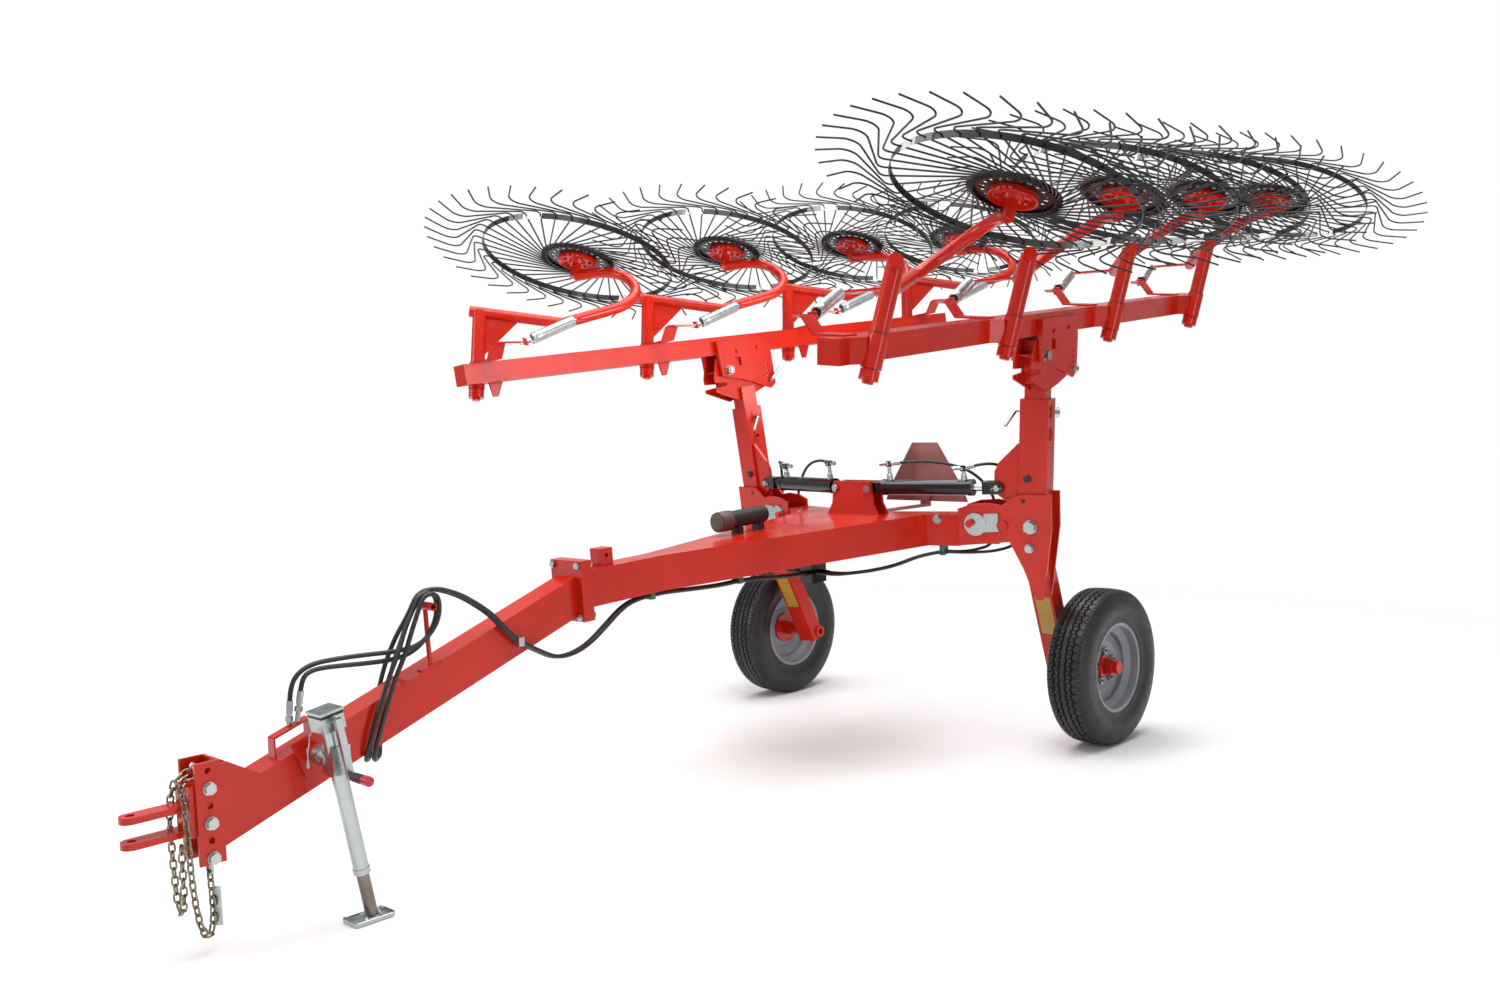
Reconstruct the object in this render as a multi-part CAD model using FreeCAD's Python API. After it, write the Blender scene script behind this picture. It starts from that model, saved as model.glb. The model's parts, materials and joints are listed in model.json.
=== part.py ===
"""Eight-wheel V hay rake on its own two-wheeled cart, folded for the road and standing on its jack.

Millimetres. +X is the machine's left, -Y is forward (towards the hitch), +Z is up and the floor is z = 0.
Everything is drawn with the axle at y = 0 and moved back by ORIGIN_Y on export, so the frame's origin sits
under the middle of the folded machine.  The left side is drawn; the right side is its mirror image.
"""
import FreeCAD, Part
import math
import os
from FreeCAD import Vector as V

os.makedirs("parts", exist_ok=True)

# ---------------------------------------------------------------- driving dimensions
ORIGIN_Y = 707.0                 # axle to the middle of the folded machine

TRACK_HALF = 952.0               # tyre middle from the centre plane
TYRE_R, TYRE_W = 344.0, 190.0    # 205/70-15 road tyre
RIM_R, RIM_LIP = 190.5, 214.0    # 15 inch bead seat and flange

FRAME_TILT = 2.35                # main frame rises to the rear, degrees
FRAME_H, FRAME_W = 140.0, 106.0  # main tube
FRAME_FRONT = (-2167.0, 897.0)   # y, z of the tube's middle at its flange
NECK_END, FRAME_END = -1776.0, -455.0
ARM_SWEEP = 13.0                 # cross arms swept back, degrees
ARM_DEPTH = 105.0
ARM_JOINT, ARM_END = 352.0, 500.0

DRAWBAR_TILT = 19.8
DRAWBAR_H, DRAWBAR_W = 140.0, 106.0
DRAWBAR_TOP = (-2217.0, 877.0)   # y, z of its middle at the flange
CHANNEL_WEB_Y, CHANNEL_FRONT_Y = -3592.0, -3672.0
CHANNEL_Z = (264.0, 572.0)
HITCH_HOLES_Y, HITCH_HOLE_TOP, HITCH_PITCH = -3632.0, 545.0, 52.5
HITCH_PIN_R, HITCH_BOLT_R, HITCH_PIN_Y = 14.0, 10.0, -3842.0
BRACKET_Y = (-547.0, -475.0)     # front faces of the cylinder bracket's two cheeks

JACK_PIVOT = V(150.0, -3296.0, 530.0)
JACK_AXIS = V(0, -107, 604) / V(0, -107, 604).Length
JACK_FOOT_Y = -3205.0
JACK_TUBE = (160.0, 640.0)       # outer tube, from its lower end to its head, along the jack
JACK_INNER_TOP = 500.0           # leaves room for the leg to slide 120 up and 220 down

PIVOT = V(820.0, -354.0, 989.0)  # fold pivot on the front plate
PLATE_LEAN = 5.0                 # side plates lean forward, degrees
PLATE_T, PLATE_GAP = 10.0, 104.0
PLATE_INNER = -326.5             # inner edge of the side plates, against the cross arm's end
BOSS_INNER, AXLE_END, AXLE_R = 690.0, 1005.0, 20.0
FOLD_PIN_R = 15.0
LOWER_BOLT = (-9.0, -94.0)       # second bolt through both side plates
POST_LEAN = 4.2                  # folded post leans out, degrees
SLEEVE, SLEEVE_WALL = (124.0, 94.0), 6.0
INNER = (90.0, 80.0)             # telescoping post inside the sleeve
LUG_Y = -28.5                    # cylinder lug's middle, forward of the post's middle
POST_PIN_R, POST_PIN_Z = 8.0, (490.0, 395.0)
TUBE_WALL = 6.0

BEAM_START = V(1049.0, -1920.0, 1724.0)
BEAM_DIR = V(-83.0, 951.0, 79.0)
BEAM_LENGTH, BEAM_S = 3200.0, 90.0
ARM_STEP = V(-83.0, 951.0, 79.0)  # from one rake wheel to the next
WHEELS = 4                       # rake wheels on each side
HEAD_AT = 1552.0                 # along the beam, where the post carries it
CLAMP_HOLES = ((HEAD_AT - 78, -128.0, 12.3), (HEAD_AT + 182, -204.0, 8.3))   # y, z, radius

SPINDLE_LOW = V(1117.0, -1792.0, 1649.0)
SPINDLE_TOP = V(1176.0, -1710.0, 2010.0)
SPINDLE_R, SPINDLE_PIN_R, ARM_R = 31.5, 26.0, 25.0
SPRING_R = 25.0
RAKE_CENTRE = V(1236.0, -1079.0, 2283.0)
RAKE_NORMAL = V(0.079, 0.347, 0.934)
BAND_R, TIP_R, TINES, TINE_R = 463.0, 735.0, 40, 3.6
HUB_PIN_R = 19.0

CYL_BASE = V(83.0, -505.0, 1157.0)
CYL_LENGTH = 607.6               # pin to pin, wings folded up
CYL_PIN_R, CYL_ROD_R = 12.5, 16.0
CYL_PORTS = (95.0, 451.0)

HOSE_R, CYL_HOSE_R = 8.0, 6.5
HANGER_Y, HANGER_Z = -2837.0, 925.0
CHAIN_R = 9.0


# ---------------------------------------------------------------- helpers
def unit(v):
    w = V(v)
    w.normalize()
    return w


def axes(origin, x, z):
    """Placement at origin whose local X and Z point along x and z."""
    zz = unit(z)
    yy = unit(zz.cross(x))
    return FreeCAD.Placement(origin, FreeCAD.Rotation(yy.cross(zz), yy, zz, "ZXY"))


def world(pl, x, y, z):
    return pl.multVec(V(x, y, z))


def placed(shape, pl):
    s = shape.copy()
    s.Placement = pl.multiply(s.Placement)
    return s


def block(x0, x1, y0, y1, z0, z1, pl=None):
    b = Part.makeBox(x1 - x0, y1 - y0, z1 - z0, V(x0, y0, z0))
    return placed(b, pl) if pl else b


def rod(p, q, r, r2=None):
    d = q - p
    if r2 is None:
        return Part.makeCylinder(r, d.Length, p, d)
    return Part.makeCone(r, r2, d.Length, p, d)


def tube(p, q, r, bore):
    return rod(p, q, r).cut(rod(p, q, bore))


def plate(points, t0, t1, pl):
    """Polygon of local (x, z) points, thick from local y = t0 to t1."""
    face = Part.Face(Part.makePolygon([V(x, t0, z) for x, z in points + points[:1]]))
    return placed(face.extrude(V(0, t1 - t0, 0)), pl)


def outline(points, depth, pl):
    """Polygon of local (y, z) points, thick along local x from depth[0] to depth[1]."""
    face = Part.Face(Part.makePolygon([V(depth[0], y, z) for y, z in points + points[:1]]))
    return placed(face.extrude(V(depth[1] - depth[0], 0, 0)), pl)


def flat(points, z0, z1):
    """Level plate from a polygon of (x, y) points."""
    face = Part.Face(Part.makePolygon([V(x, y, z0) for x, y in points + points[:1]]))
    return face.extrude(V(0, 0, z1 - z0))


def side_plate(points, x0, x1):
    """Polygon of (y, z) points in the machine's fore-and-aft plane, thick from x0 to x1."""
    face = Part.Face(Part.makePolygon([V(x0, y, z) for y, z in points + points[:1]]))
    return face.extrude(V(x1 - x0, 0, 0))


def bent(points, radii, r):
    """Round bar of radius r along straight runs joined by tangent arcs of the given bend radii."""
    edges, start = [], points[0]
    for k in range(1, len(points) - 1):
        a, b, c = points[k - 1], points[k], points[k + 1]
        u, w = unit(a - b), unit(c - b)
        half = (math.pi - u.getAngle(w)) / 2
        bend = radii[k - 1]
        cut = bend * math.tan(half)
        p, q = b + u * cut, b + w * cut
        mid = unit(u + w)
        m = b + mid * (bend / math.cos(half) - bend)
        edges.append(Part.makeLine(start, p))
        edges.append(Part.Arc(p, m, q).toShape())
        start = q
    edges.append(Part.makeLine(start, points[-1]))
    wire = Part.Wire(edges)
    ring = Part.Wire(Part.makeCircle(r, points[0], points[1] - points[0]))
    return wire.makePipeShell([ring], True, False)


def cord_radii(points):
    """Bend radius at each inner point: 0.45 of the shorter run over the tangent of half the turn."""
    radii = []
    for a, b, c in zip(points, points[1:], points[2:]):
        half = (math.pi - (a - b).getAngle(c - b)) / 2
        radii.append(0.45 * min((b - a).Length, (c - b).Length) / math.tan(half))
    return radii


def cord(name, points, r):
    """Round hose along straight runs and the largest tangent arcs they allow."""
    radii = cord_radii(points)
    shape = bent(points, radii, r)
    length = shape.Volume / (math.pi * r * r)
    print("%-26s %2d points, length %.0f, tightest radius %.0f" % (name, len(points), length, min(radii)))
    return shape


def fused(shapes):
    out = shapes[0].multiFuse(shapes[1:]) if len(shapes) > 1 else shapes[0]
    return out.removeSplitter()


def mirrored(shape):
    return shape.mirror(V(0, 0, 0), V(1, 0, 0))


def export(name, shape):
    s = shape.copy()
    s.translate(V(0, ORIGIN_Y, 0))
    s.exportStep("parts/%s.step" % name)
    print("%-26s %2d solids %9.1f cm3 valid %s" % (name, len(s.Solids), s.Volume / 1000, s.isValid()))


def export_pair(name, shape):
    export(name + "_left", shape)
    export(name + "_right", mirrored(shape))


# ---------------------------------------------------------------- shared frames
def tilt_frame(y, z, degrees):
    a = math.radians(degrees)
    return axes(V(0, y, z), V(1, 0, 0), V(0, -math.sin(a), math.cos(a)))


MAIN = tilt_frame(FRAME_FRONT[0], FRAME_FRONT[1], FRAME_TILT)
BAR = tilt_frame(DRAWBAR_TOP[0], DRAWBAR_TOP[1], DRAWBAR_TILT)
sweep, lean = math.radians(ARM_SWEEP), math.radians(PLATE_LEAN)
OUT = V(math.cos(sweep), math.sin(sweep), 0)
UP = V(math.sin(sweep) * math.sin(lean), -math.cos(sweep) * math.sin(lean), math.cos(lean))
PLATES = axes(PIVOT, OUT, UP)               # local y runs rearward through the plates
BACK = PLATES.Rotation.multVec(V(0, 1, 0))
tip_out = math.radians(POST_LEAN)
POST_UP = UP * math.cos(tip_out) + OUT * math.sin(tip_out)
POST = axes(PIVOT + BACK * (PLATE_T + PLATE_GAP / 2), OUT * math.cos(tip_out) - UP * math.sin(tip_out),
            POST_UP)
B = unit(BEAM_DIR)
roll = math.radians(5.5)
BEAM_UP = unit(V(math.sin(roll), 0, math.cos(roll)) - B * B.dot(V(math.sin(roll), 0, math.cos(roll))))
BEAM = axes(BEAM_START, B.cross(BEAM_UP), BEAM_UP)   # local x out, y rearward, z up
ROD_PIN = CYL_BASE + OUT * CYL_LENGTH


def cyl(h, y=0.0, z=0.0):
    """Point beside the left cylinder: h out along it, y behind it, z above it."""
    return CYL_BASE + OUT * h + BACK * y + UP * z


# ---------------------------------------------------------------- main frame
def polygon_xy(points, z):
    return Part.Face(Part.makePolygon([V(p.x, p.y, z) for p in points + points[:1]]))


def hollow_slab(points, z0, z1, wall):
    """Welded plate box: a level outline with its closed inside taken out."""
    outer = polygon_xy(points, z0).extrude(V(0, 0, z1 - z0))
    inner = polygon_xy(points, z0 + wall).makeOffset2D(-wall).extrude(V(0, 0, z1 - z0 - 2 * wall))
    return outer, inner


def both_sides(half_outline):
    return half_outline + [V(-p.x, p.y, 0) for p in half_outline[::-1] if abs(p.x) > 0.01]


def main_frame():
    slope, length = math.tan(sweep), FRAME_END - FRAME_FRONT[0]
    joint = V(ARM_JOINT, length, 0)
    end = V(ARM_END, length + (ARM_END - ARM_JOINT) * slope, 0)
    back = V(-math.sin(sweep), math.cos(sweep), 0) * ARM_DEPTH
    front_mid = V(0, joint.y - ARM_JOINT * slope, 0)
    rear_mid = V(0, front_mid.y + ARM_DEPTH / math.cos(sweep), 0)
    neck = NECK_END - FRAME_FRONT[0]
    half = FRAME_W / 2
    nose = both_sides([V(half, 0, 0), V(half, neck, 0), joint, joint + back, rear_mid])
    arms = both_sides([front_mid, end, end + back, rear_mid])
    low, high = -FRAME_H / 2, FRAME_H / 2
    nose_box, nose_inside = hollow_slab(nose, low, high, TUBE_WALL)
    arm_box, arm_inside = hollow_slab(arms, low, high, TUBE_WALL)
    boxes = fused([nose_box, arm_box]).cut(nose_inside).cut(arm_inside)
    flange = block(-87, 87, -25, 0, -112, 114)
    stub = block(-30, 30, 95, 155, high, high + 66)
    stub = stub.cut(rod(V(-40, 125, high + 40), V(40, 125, high + 40), 8))
    frame = placed(fused([boxes, flange, stub]), MAIN)
    lugs = []
    for y in BRACKET_Y:
        points = [(-150, 1030), (150, 1030), (118, 1085), (108, 1186), (-108, 1186), (-118, 1085)]
        face = Part.Face(Part.makePolygon([V(x, y, z) for x, z in points + points[:1]]))
        lugs.append(face.extrude(V(0, 12, 0)).cut(Part.makeCompound([bracket_hole(1), bracket_hole(-1)])))
    return fused([frame] + lugs)


def bracket_hole(side):
    hole = rod(CYL_BASE - BACK * 90, CYL_BASE + BACK * 90, CYL_PIN_R + 0.05)
    return hole if side > 0 else mirrored(hole)


# ---------------------------------------------------------------- drawbar and hitch
def drawbar_edge(y, side):
    """Height of the drawbar's top (side 1) or bottom (side -1) at y."""
    a = math.radians(DRAWBAR_TILT)
    return DRAWBAR_TOP[1] + side * DRAWBAR_H / 2 / math.cos(a) + (y - DRAWBAR_TOP[0]) * math.tan(a)


def drawbar():
    length = (DRAWBAR_TOP[0] - CHANNEL_WEB_Y) / math.cos(math.radians(DRAWBAR_TILT))
    w, h, t = DRAWBAR_W / 2, DRAWBAR_H / 2, TUBE_WALL
    hollow = block(-w + t, w - t, -length - 60, 60, -h + t, h - t, BAR)
    bar = block(-w, w, -length - 30, 40, -h, h, BAR).cut(hollow)
    bar = bar.common(block(-300, 300, CHANNEL_WEB_Y, 0, 0, 2000))
    bar = bar.cut(block(-300, 300, -50, 600, -500, 500, MAIN))
    flange = block(-87, 87, -50, -25, -112, 114, MAIN)
    web = block(-56, 56, CHANNEL_WEB_Y - 10, CHANNEL_WEB_Y, CHANNEL_Z[0], CHANNEL_Z[1])
    parts = [bar, flange, web]
    for x in (-56.0, 46.0):
        side = block(x, x + 10, CHANNEL_FRONT_Y, CHANNEL_WEB_Y, CHANNEL_Z[0], CHANNEL_Z[1])
        for k in range(6):
            z = HITCH_HOLE_TOP - k * HITCH_PITCH
            side = side.cut(rod(V(x - 5, HITCH_HOLES_Y, z), V(x + 15, HITCH_HOLES_Y, z),
                            HITCH_BOLT_R + 0.05))
        parts.append(side)
    gusset = [(CHANNEL_WEB_Y, 320), (CHANNEL_WEB_Y, 560), (-3570, 560), (-3470, drawbar_edge(-3470, 1)),
              (-3470, drawbar_edge(-3470, 1) - 60), (-3540, 330)]
    for x in (-w - 3, w - 5):
        parts.append(side_plate(gusset, x, x + 8))
    return fused(parts)


def hitch_clevis():
    root_y = CHANNEL_FRONT_Y - 18
    parts = [block(-45.5, 45.5, root_y, CHANNEL_WEB_Y - 11, 352, 506)]
    for z in (433.0, 358.0):
        eye = Part.makeCylinder(32, 20, V(0, HITCH_PIN_Y, z))
        bar = fused([block(-32, 32, HITCH_PIN_Y, root_y, z, z + 20), eye])
        parts.append(bar.cut(Part.makeCylinder(HITCH_PIN_R, 30, V(0, HITCH_PIN_Y, z - 5))))
    body = fused(parts)
    for k in (1, 3):
        z = HITCH_HOLE_TOP - k * HITCH_PITCH
        body = body.cut(rod(V(-60, HITCH_HOLES_Y, z), V(60, HITCH_HOLES_Y, z), HITCH_BOLT_R + 0.05))
    return body


def hex_prism(p, q, flats):
    """Bolt head or nut from p to q, flats wide across its flat sides."""
    pl = axes(p, V(0, 0, 1) if abs(unit(q - p).z) < 0.9 else V(1, 0, 0), q - p)
    r = flats / math.sqrt(3)
    corners = [V(r * math.cos(math.radians(60 * k)), r * math.sin(math.radians(60 * k)), 0)
               for k in range(7)]
    return placed(Part.Face(Part.makePolygon(corners)).extrude(V(0, 0, (q - p).Length)), pl)


def bolt(p, q, r, head=0.7, nut=0.9):
    """Hexagon bolt whose grip runs from p to q: washer and head at p, washer and nut at q."""
    d = unit(q - p)
    shank = rod(p, q + d * (nut * 2 * r + 8), r)
    washers = [rod(p - d * 3, p, 2 * r), rod(q, q + d * 3, 2 * r)]
    return fused([shank, hex_prism(p - d * (3 + head * 2 * r), p - d * 3, 3.1 * r),
                  hex_prism(q + d * 3, q + d * (3 + nut * 2 * r), 3.1 * r)] + washers)


def hitch_bolts():
    levels = [HITCH_HOLE_TOP - k * HITCH_PITCH for k in (1, 3, 5)]
    return Part.makeCompound([bolt(V(56, HITCH_HOLES_Y, z), V(-56, HITCH_HOLES_Y, z), HITCH_BOLT_R)
                             for z in levels])


# ---------------------------------------------------------------- jack
def jack_point(h, x=200.0):
    return V(x, JACK_FOOT_Y, 0) + JACK_AXIS * h


def jack_mount():
    y, z = JACK_PIVOT.y, JACK_PIVOT.z
    tilt = math.radians(DRAWBAR_TILT)
    pad_frame = axes(V(DRAWBAR_W / 2, y, z), V(1, 0, 0), V(0, -math.sin(tilt), math.cos(tilt)))
    pad = block(0, 10, -55, 55, -60, 60, pad_frame)
    return fused([pad, rod(V(60, y, z), V(142, y, z), 26)])


def jack_body():
    low, top = JACK_TUBE
    outer = tube(jack_point(low), jack_point(top), 25, 21)
    rim_band = tube(jack_point(low), jack_point(low + 18), 27, 21)
    head = block(-42, 42, -37, 37, 0, 58, axes(jack_point(638), V(1, 0, 0), JACK_AXIS))
    lid = block(-45, 45, -40, 40, 56, 64, axes(jack_point(638), V(1, 0, 0), JACK_AXIS))
    boss = rod(jack_point(668, 242), jack_point(668, 242) + V(7, 0, 0), 20)
    y, z = JACK_PIVOT.y, JACK_PIVOT.z
    collar = tube(V(100, y, z), V(178, y, z), 34, 26.3).fuse(rod(V(147, y, z), V(178, y, z), 34))
    clasp = block(168, 232, y - 30, y + 30, z - 45, z + 45)
    body = fused([outer, rim_band, head, lid, boss, collar, clasp])
    bores = [rod(jack_point(100), jack_point(630), 21), rod(jack_point(668),
             jack_point(668) + V(60, 0, 0), 9.1)]
    return body.cut(Part.makeCompound(bores))


def jack_leg():
    inner = rod(jack_point(12), jack_point(JACK_INNER_TOP), 20)
    x0, x1, y0, y1, t = 147.0, 237.0, -3286.0, -3142.0, 4.0
    dish = block(x0, x1, y0, y1, 0, 16).cut(block(x0 + t, x1 - t, y0 + t, y1 - t, t, 30))
    gusset = rod(jack_point(6), jack_point(34), 30, 21).common(block(x0 + t, x1 - t, y0 + t, y1 - t, t, 80))
    return fused([inner.common(block(100, 300, -3500, -3000, 2, 900)), dish, gusset])


def jack_crank():
    p = jack_point(668)
    elbow = V(269, p.y, p.z)
    low = elbow - JACK_AXIS * 172
    shaft = rod(V(215, p.y, p.z), V(262, p.y, p.z), 9)
    arm_frame = axes(elbow, V(1, 0, 0), JACK_AXIS)
    arm = block(-8, 8, -11, 11, -184, 13, arm_frame)
    grip = fused([rod(low, low + V(30, 0, 0), 8), rod(low + V(22, 0, 0), low + V(110, 0, 0), 14)])
    return fused([shaft, arm, grip])


# ---------------------------------------------------------------- cart legs, hubs, wheels
def cart_leg():
    points = [(PLATE_INNER, -88), (PLATE_INNER, 76), (-263, 96), (-180, 101), (-126, 92), (-75, 128),
              (-40, 140), (98, 140), (93, -12), (42, -320), (10, -320),
              (-41, -181), (-96, -68)]
    gap_end = PLATE_T + PLATE_GAP
    front = plate(points, 0, PLATE_T, PLATES)
    rear = plate(points, gap_end, gap_end + PLATE_T, PLATES)
    web = block(PLATE_INNER, -150, PLATE_T, gap_end, -80, -70, PLATES)
    rib = block(-158, -150, PLATE_T, gap_end, -80, 60, PLATES)
    top, bottom = V(797, -270, 912), V(755, -4, 310)
    run = (top - bottom).Length
    tube_frame = axes(bottom, V(1, 0, 0), top - bottom)
    leg = block(-56, 46, -38, 38, 0, run, tube_frame)
    leg = leg.cut(block(-50, 40, -32, 32, 6, run + 10, tube_frame))
    leg = leg.cut(block(-400, 200, PLATE_T, gap_end, -95, 300, PLATES))
    axle_z = V(0, 0, TYRE_R)
    boss = rod(V(BOSS_INNER, 0, 0) + axle_z, V(835, 0, 0) + axle_z, 30)
    axle = rod(V(835, 0, 0) + axle_z, V(AXLE_END, 0, 0) + axle_z, AXLE_R)
    pegs = [rod(world(PLATES, -268, -28, 14), world(PLATES, -268, 0, 14), 17),
            rod(world(PLATES, -122, -7, 4), world(PLATES, -122, 0, 4), 22)]
    guides = [fused([tube(cyl(h, 118, -175), cyl(h, 118, -125), 17, 14),
                     block(h - 6, h + 6, 90.5, 102, -172, -128, axes(CYL_BASE, OUT, UP))]) for h in GUIDE_H]
    body = fused([front, rear, web, rib, leg, boss, axle] + pegs + guides)
    bush = rod(V(BOSS_INNER - 5, 0, 0) + axle_z, V(BOSS_INNER + 55, 0, 0) + axle_z, 16)
    pivot = rod(world(PLATES, 0, -20, 0), world(PLATES, 0, 160, 0), FOLD_PIN_R + 0.05)
    x, z = LOWER_BOLT
    lower = rod(world(PLATES, x, -20, z), world(PLATES, x, 40, z), 10.05)
    return body.cut(bush).cut(pivot).cut(lower)


def turned(profile):
    """Solid of revolution about the wheel's axle from (radius, offset along the axle) points."""
    points = [V(TRACK_HALF + x, 0, TYRE_R + r) for r, x in profile]
    return Part.Face(Part.makePolygon(points + points[:1])).revolve(V(TRACK_HALF, 0, TYRE_R), V(1, 0, 0),
                     360)


def rim():
    w = TYRE_W / 2
    bead, lip, disc_r = RIM_R - 3, RIM_LIP, 154
    outer = [(lip, -w * 0.80), (bead, -w * 0.74), (bead, -w * 0.45), (disc_r + 6, -w * 0.25),
             (disc_r + 6, w * 0.20), (bead, w * 0.40), (bead, w * 0.74), (lip, w * 0.80), (lip, w * 0.84)]
    inner = [(bead - 5, w * 0.80), (bead - 5, w * 0.42), (disc_r, w * 0.22), (disc_r, 6), (110, 10),
             (85, 2), (34.5, 2), (34.5, -6), (88, -6), (112, 2), (disc_r, -4), (disc_r, -w * 0.27),
             (bead - 5, -w * 0.47), (bead - 5, -w * 0.80), (lip, -w * 0.84)]
    return turned(outer + inner)


def tyre():
    """Carcass with a 20 mm wall, its beads just inside the rim's flanges."""
    w, r = TYRE_W / 2, RIM_R
    outside = [(r - 2.5, -w * 0.70), (RIM_LIP - 2, -w * 0.745), (RIM_LIP + 4, -w * 0.83), (r + 70, -w),
               (TYRE_R - 35, -w * 0.97), (TYRE_R - 8, -w * 0.80), (TYRE_R, -w * 0.55)]
    inside = [(r + 14, -w * 0.56), (r + 70, -w * 0.86), (TYRE_R - 42, -w * 0.78), (TYRE_R - 20, -w * 0.5)]
    mirrored_out = [(a, -b) for a, b in outside[::-1]]
    mirrored_in = [(a, -b) for a, b in inside]
    return turned(outside + mirrored_out + mirrored_in + inside[::-1])


def hub():
    x, z = TRACK_HALF, V(0, 0, TYRE_R)
    runs = [(-82, 60, 34), (-18, -6, 78), (60, 84, 27)]        # barrel, flange and cap
    body = fused([rod(V(x + a, 0, 0) + z, V(x + b, 0, 0) + z, r) for a, b, r in runs])
    return body.cut(rod(V(x - 90, 0, 0) + z, V(AXLE_END + 0.5, 0, 0) + z, AXLE_R + 0.05))


# ---------------------------------------------------------------- folding posts
def post_sleeve():
    w, d, t = SLEEVE[0] / 2, SLEEVE[1] / 2, SLEEVE_WALL
    a, b = INNER[0] / 2 + 1, INNER[1] / 2 + 1
    foot, corner = -52, 17                   # the foot's corners are cut off, to turn past the lower bolt
    side = [(-w, foot + corner), (-w, 545), (w, 545), (w, foot + corner), (w - corner, foot),
            (corner - w, foot)]
    body = plate(side, -d, d, POST).cut(block(-a, a, -b, b, 190, 600, POST))
    body = body.cut(block(-w + t, w - t, -d + t, d - t, 60, 180, POST))
    edge = [(0, 60), (0, 352), (-10, 352), (-96, 262), (-112, 225), (-112, 148), (-90, 120)]
    lug = plate([(x - w, z) for x, z in edge], LUG_Y - 8, LUG_Y + 8, POST)
    bump = rod(world(POST, -22, -d - 12, 205), world(POST, -22, -d, 205), 14)
    bosses = [block(x, x + 5, -14, 14, z - 26, z + 26, POST) for x in (-w - 5, w) for z in POST_PIN_Z]
    body = fused([body, lug, bump] + bosses)
    holes = [rod(world(POST, -w - 20, 0, z), world(POST, w + 20, 0, z), POST_PIN_R + 0.3)
             for z in POST_PIN_Z]
    holes.append(rod(ROD_PIN - BACK * 60, ROD_PIN + BACK * 60, CYL_PIN_R + 0.05))
    holes.append(rod(world(PLATES, 0, -30, 0), world(PLATES, 0, 170, 0), FOLD_PIN_R + 0.05))
    return body.cut(Part.makeCompound(holes))


def post_inner():
    """Telescoping post with the notched head plates that carry the beam's clamp plates."""
    w, d, t = INNER[0] / 2, INNER[1] / 2, TUBE_WALL
    post = block(-w, w, -d, d, 200, 900, POST).cut(block(-w + t, w - t, -d + t, d - t, 150, 950, POST))
    post = post.cut(block(-400, 400, 0, BEAM_LENGTH, -220, 600, BEAM))
    at = HEAD_AT
    ear = [(at - 168, -156), (at - 140, -60), (at + 60, -60), (at + 120, -170), (at + 154, -234),
           (at + 68, -262), (at - 23, -283), (at - 97, -254), (at - 167, -226), (at - 167, -208),
           (at - 92, -202), (at - 92, -186), (at - 167, -182)]
    parts = [post] + [outline(ear, depth, BEAM) for depth in ((-45, -37), (37, 45))]
    parts.append(block(-37, 37, at - 88, at - 80, -250, -70, BEAM))
    parts.append(block(-37, 37, at - 140, at - 80, -132, -124, BEAM))
    head = fused(parts)
    holes = [rod(world(POST, -90, 0, z), world(POST, 90, 0, z), POST_PIN_R + 0.3) for z in POST_PIN_Z]
    holes += [rod(world(BEAM, -90, y, z), world(BEAM, 90, y, z), r) for y, z, r in CLAMP_HOLES]
    return head.cut(Part.makeCompound(holes))


def post_pins():
    """Cross pins with a bent handle at the inner end, and the clamp's hinge bolt."""
    out = []
    y, z, r = CLAMP_HOLES[0]
    out.append(bolt(world(BEAM, 57, y, z), world(BEAM, -57, y, z), r - 0.3))
    y, z, r = CLAMP_HOLES[1]
    pin = [world(BEAM, 84, y, z), world(BEAM, -78, y, z), world(BEAM, -92, y + 62, z + 62)]
    out.append(bent(pin, [14], r - 0.3))
    w = SLEEVE[0] / 2
    pin = [world(POST, w + 34, 0, POST_PIN_Z[0]), world(POST, -w - 34, 0, POST_PIN_Z[0]),
           world(POST, -w - 62, -52, POST_PIN_Z[0] - 62)]
    out.append(bent(pin, [14], POST_PIN_R))
    return Part.makeCompound(out)


def fold_pin():
    deep, (x, z) = 2 * PLATE_T + PLATE_GAP, LOWER_BOLT
    pivot = bolt(world(PLATES, 0, 0, 0), world(PLATES, 0, deep, 0), FOLD_PIN_R)
    return [pivot, bolt(world(PLATES, x, 0, z), world(PLATES, x, PLATE_T, z), 10)]


# ---------------------------------------------------------------- rake beams and crank arms
def spindle(i):
    shift = ARM_STEP * i
    return SPINDLE_LOW + shift, SPINDLE_TOP + shift


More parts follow.
